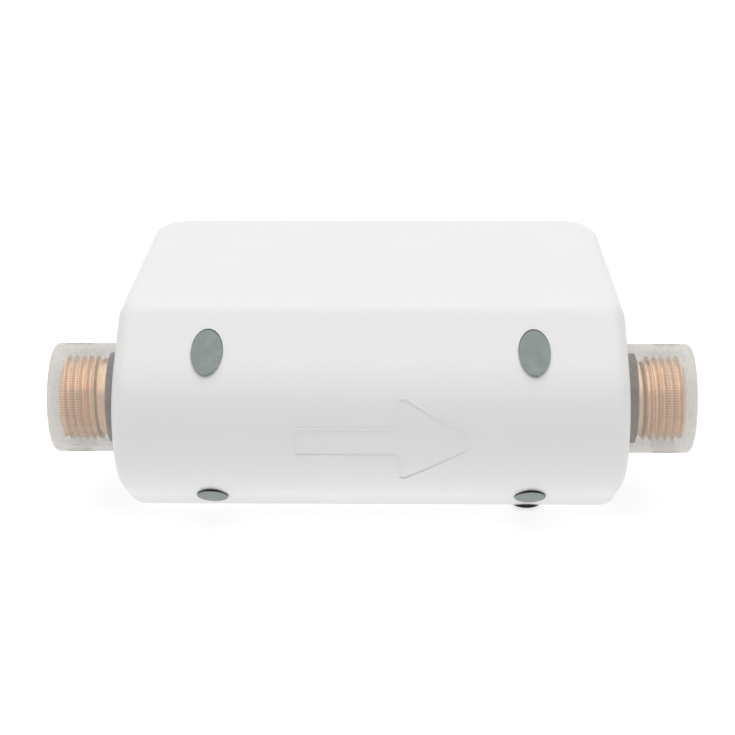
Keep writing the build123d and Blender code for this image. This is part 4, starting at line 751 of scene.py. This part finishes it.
def thread(bm, side):
    """One helical ridge that fades down to the pipe at both ends."""
    heights = ((0, ROOT), (FLANK, CREST), (FLANK + LAND, CREST), (RIDGE_FOOT, ROOT))
    points = [bm.verts.new(on_pipe(side, THREAD_START + along, radius)) for along, radius in heights]
    face = bm.faces.new(points)
    before = set(bm.verts) - set(points)
    bmesh.ops.spin(
        bm, geom=[face], axis=(1, 0, 0), cent=AXIS, dvec=(side * PITCH / TURN_STEPS * MM, 0, 0),
        angle=side * 2 * pi * TURNS, steps=round(TURNS * TURN_STEPS))
    bmesh.ops.holes_fill(bm, edges=[e for e in bm.edges if e.is_boundary])
    end = THREAD_START + TURNS * PITCH + RIDGE_FOOT
    for vert in set(bm.verts) - before:
        along, radius = abs(vert.co.x) / MM, reach(vert)[0] / MM
        share = min(1, (along - THREAD_START) / PITCH + LEAST, (end - along) / PITCH + LEAST)
        set_reach(vert, (ROOT + (radius - ROOT) * max(share, 0)) * MM)


# %% Threaded pipe ends
for end, side in ENDS:
    bm = bmesh.new()
    for make in (plain_pipe, hexagon, thread):
        make(bm, side)
    keep(bm, end + "_pipe_end", pipe_metal, "housing", [end + "_nipple"], smooth=30)

# %% [markdown]
# ## Light and ground
# The photograph has soft light from above and from the white table, with little from the sides. So the
# world is dim at the horizon and brighter overhead, and rays from below the horizon get as little as the
# horizon's. The camera still sees it as white, and so do glossy and clear surfaces, which gives the white
# background.

# %% World
HORIZON, OVERHEAD, WHITE = 0.02, 0.4, 1.0
world = bpy.data.worlds.new("studio")
bpy.context.scene.world = world
world.use_nodes = True
studio = Nodes(world.node_tree)
background = studio.tree.nodes["Background"]
sees_white = studio.node("ShaderNodeLightPath", output="Is Camera Ray")
for kind in ("Is Glossy Ray", "Is Transmission Ray"):
    sees_white = studio.maths("MAXIMUM", sees_white, studio.node("ShaderNodeLightPath", output=kind))
rise = studio.part(studio.node("ShaderNodeTexCoord", output="Generated"), "Z")
sky = studio.node("ShaderNodeMapRange", {}, {"Value": rise, "To Min": HORIZON, "To Max": OVERHEAD})
strength = studio.node("ShaderNodeMapRange", {}, {"Value": sees_white, "To Min": sky, "To Max": WHITE})
studio.join((1, 1, 1, 1), background.inputs["Color"])
studio.join(strength, background.inputs["Strength"])
print("world nodes:", len(studio.tree.nodes))

# %% [markdown]
# One lamp does the rest. A sun's angle sets how soft its shadows are, and at 100 degrees it is as wide as
# a whole ceiling of lamps, so the shading falls off slowly from the top of the casing to its lower side.

# %% Overhead light
SUN_STRENGTH, SUN_WIDTH = 2.4, radians(100)
sun = bpy.data.objects.new("overhead_light", bpy.data.lights.new("overhead_light", "SUN"))
sun.data.energy, sun.data.angle = SUN_STRENGTH, SUN_WIDTH
bpy.context.scene.collection.objects.link(sun)
print("sun strength:", sun.data.energy)

# %% [markdown]
# The floor is matt white paper. It glows, because the photograph's table is almost pure white right up to
# the valve, and its own base colour is mid grey, so that the faint contact shadow still shows on it.

# %% Floor
FLOOR_HALF, GLOW = 6, (0.72, 0.72, 0.72, 1)
bm = bmesh.new()
bmesh.ops.create_grid(bm, x_segments=1, y_segments=1, size=FLOOR_HALF)
mesh = bpy.data.meshes.new("floor")
bm.to_mesh(mesh)
bm.free()
ground = bpy.data.objects.new("floor", mesh)
bpy.context.scene.collection.objects.link(ground)
paper = Recipe(
    "white_paper", Specular_IOR_Level=0.0, Roughness=1.0, Emission_Strength=1.0, Emission_Color=GLOW)
fibre = paper.noise(1.5, 2.0)
tone = paper.blend((0.40, 0.40, 0.40), (0.42, 0.42, 0.42), fibre)
mesh.materials.append(paper.finish(base_color=tone, relief=fibre, height=0.01))

# %% [markdown]
# The Standard view shows colours as they are set, without a film look.

# %% View settings
bpy.context.scene.view_settings.view_transform = "Standard"
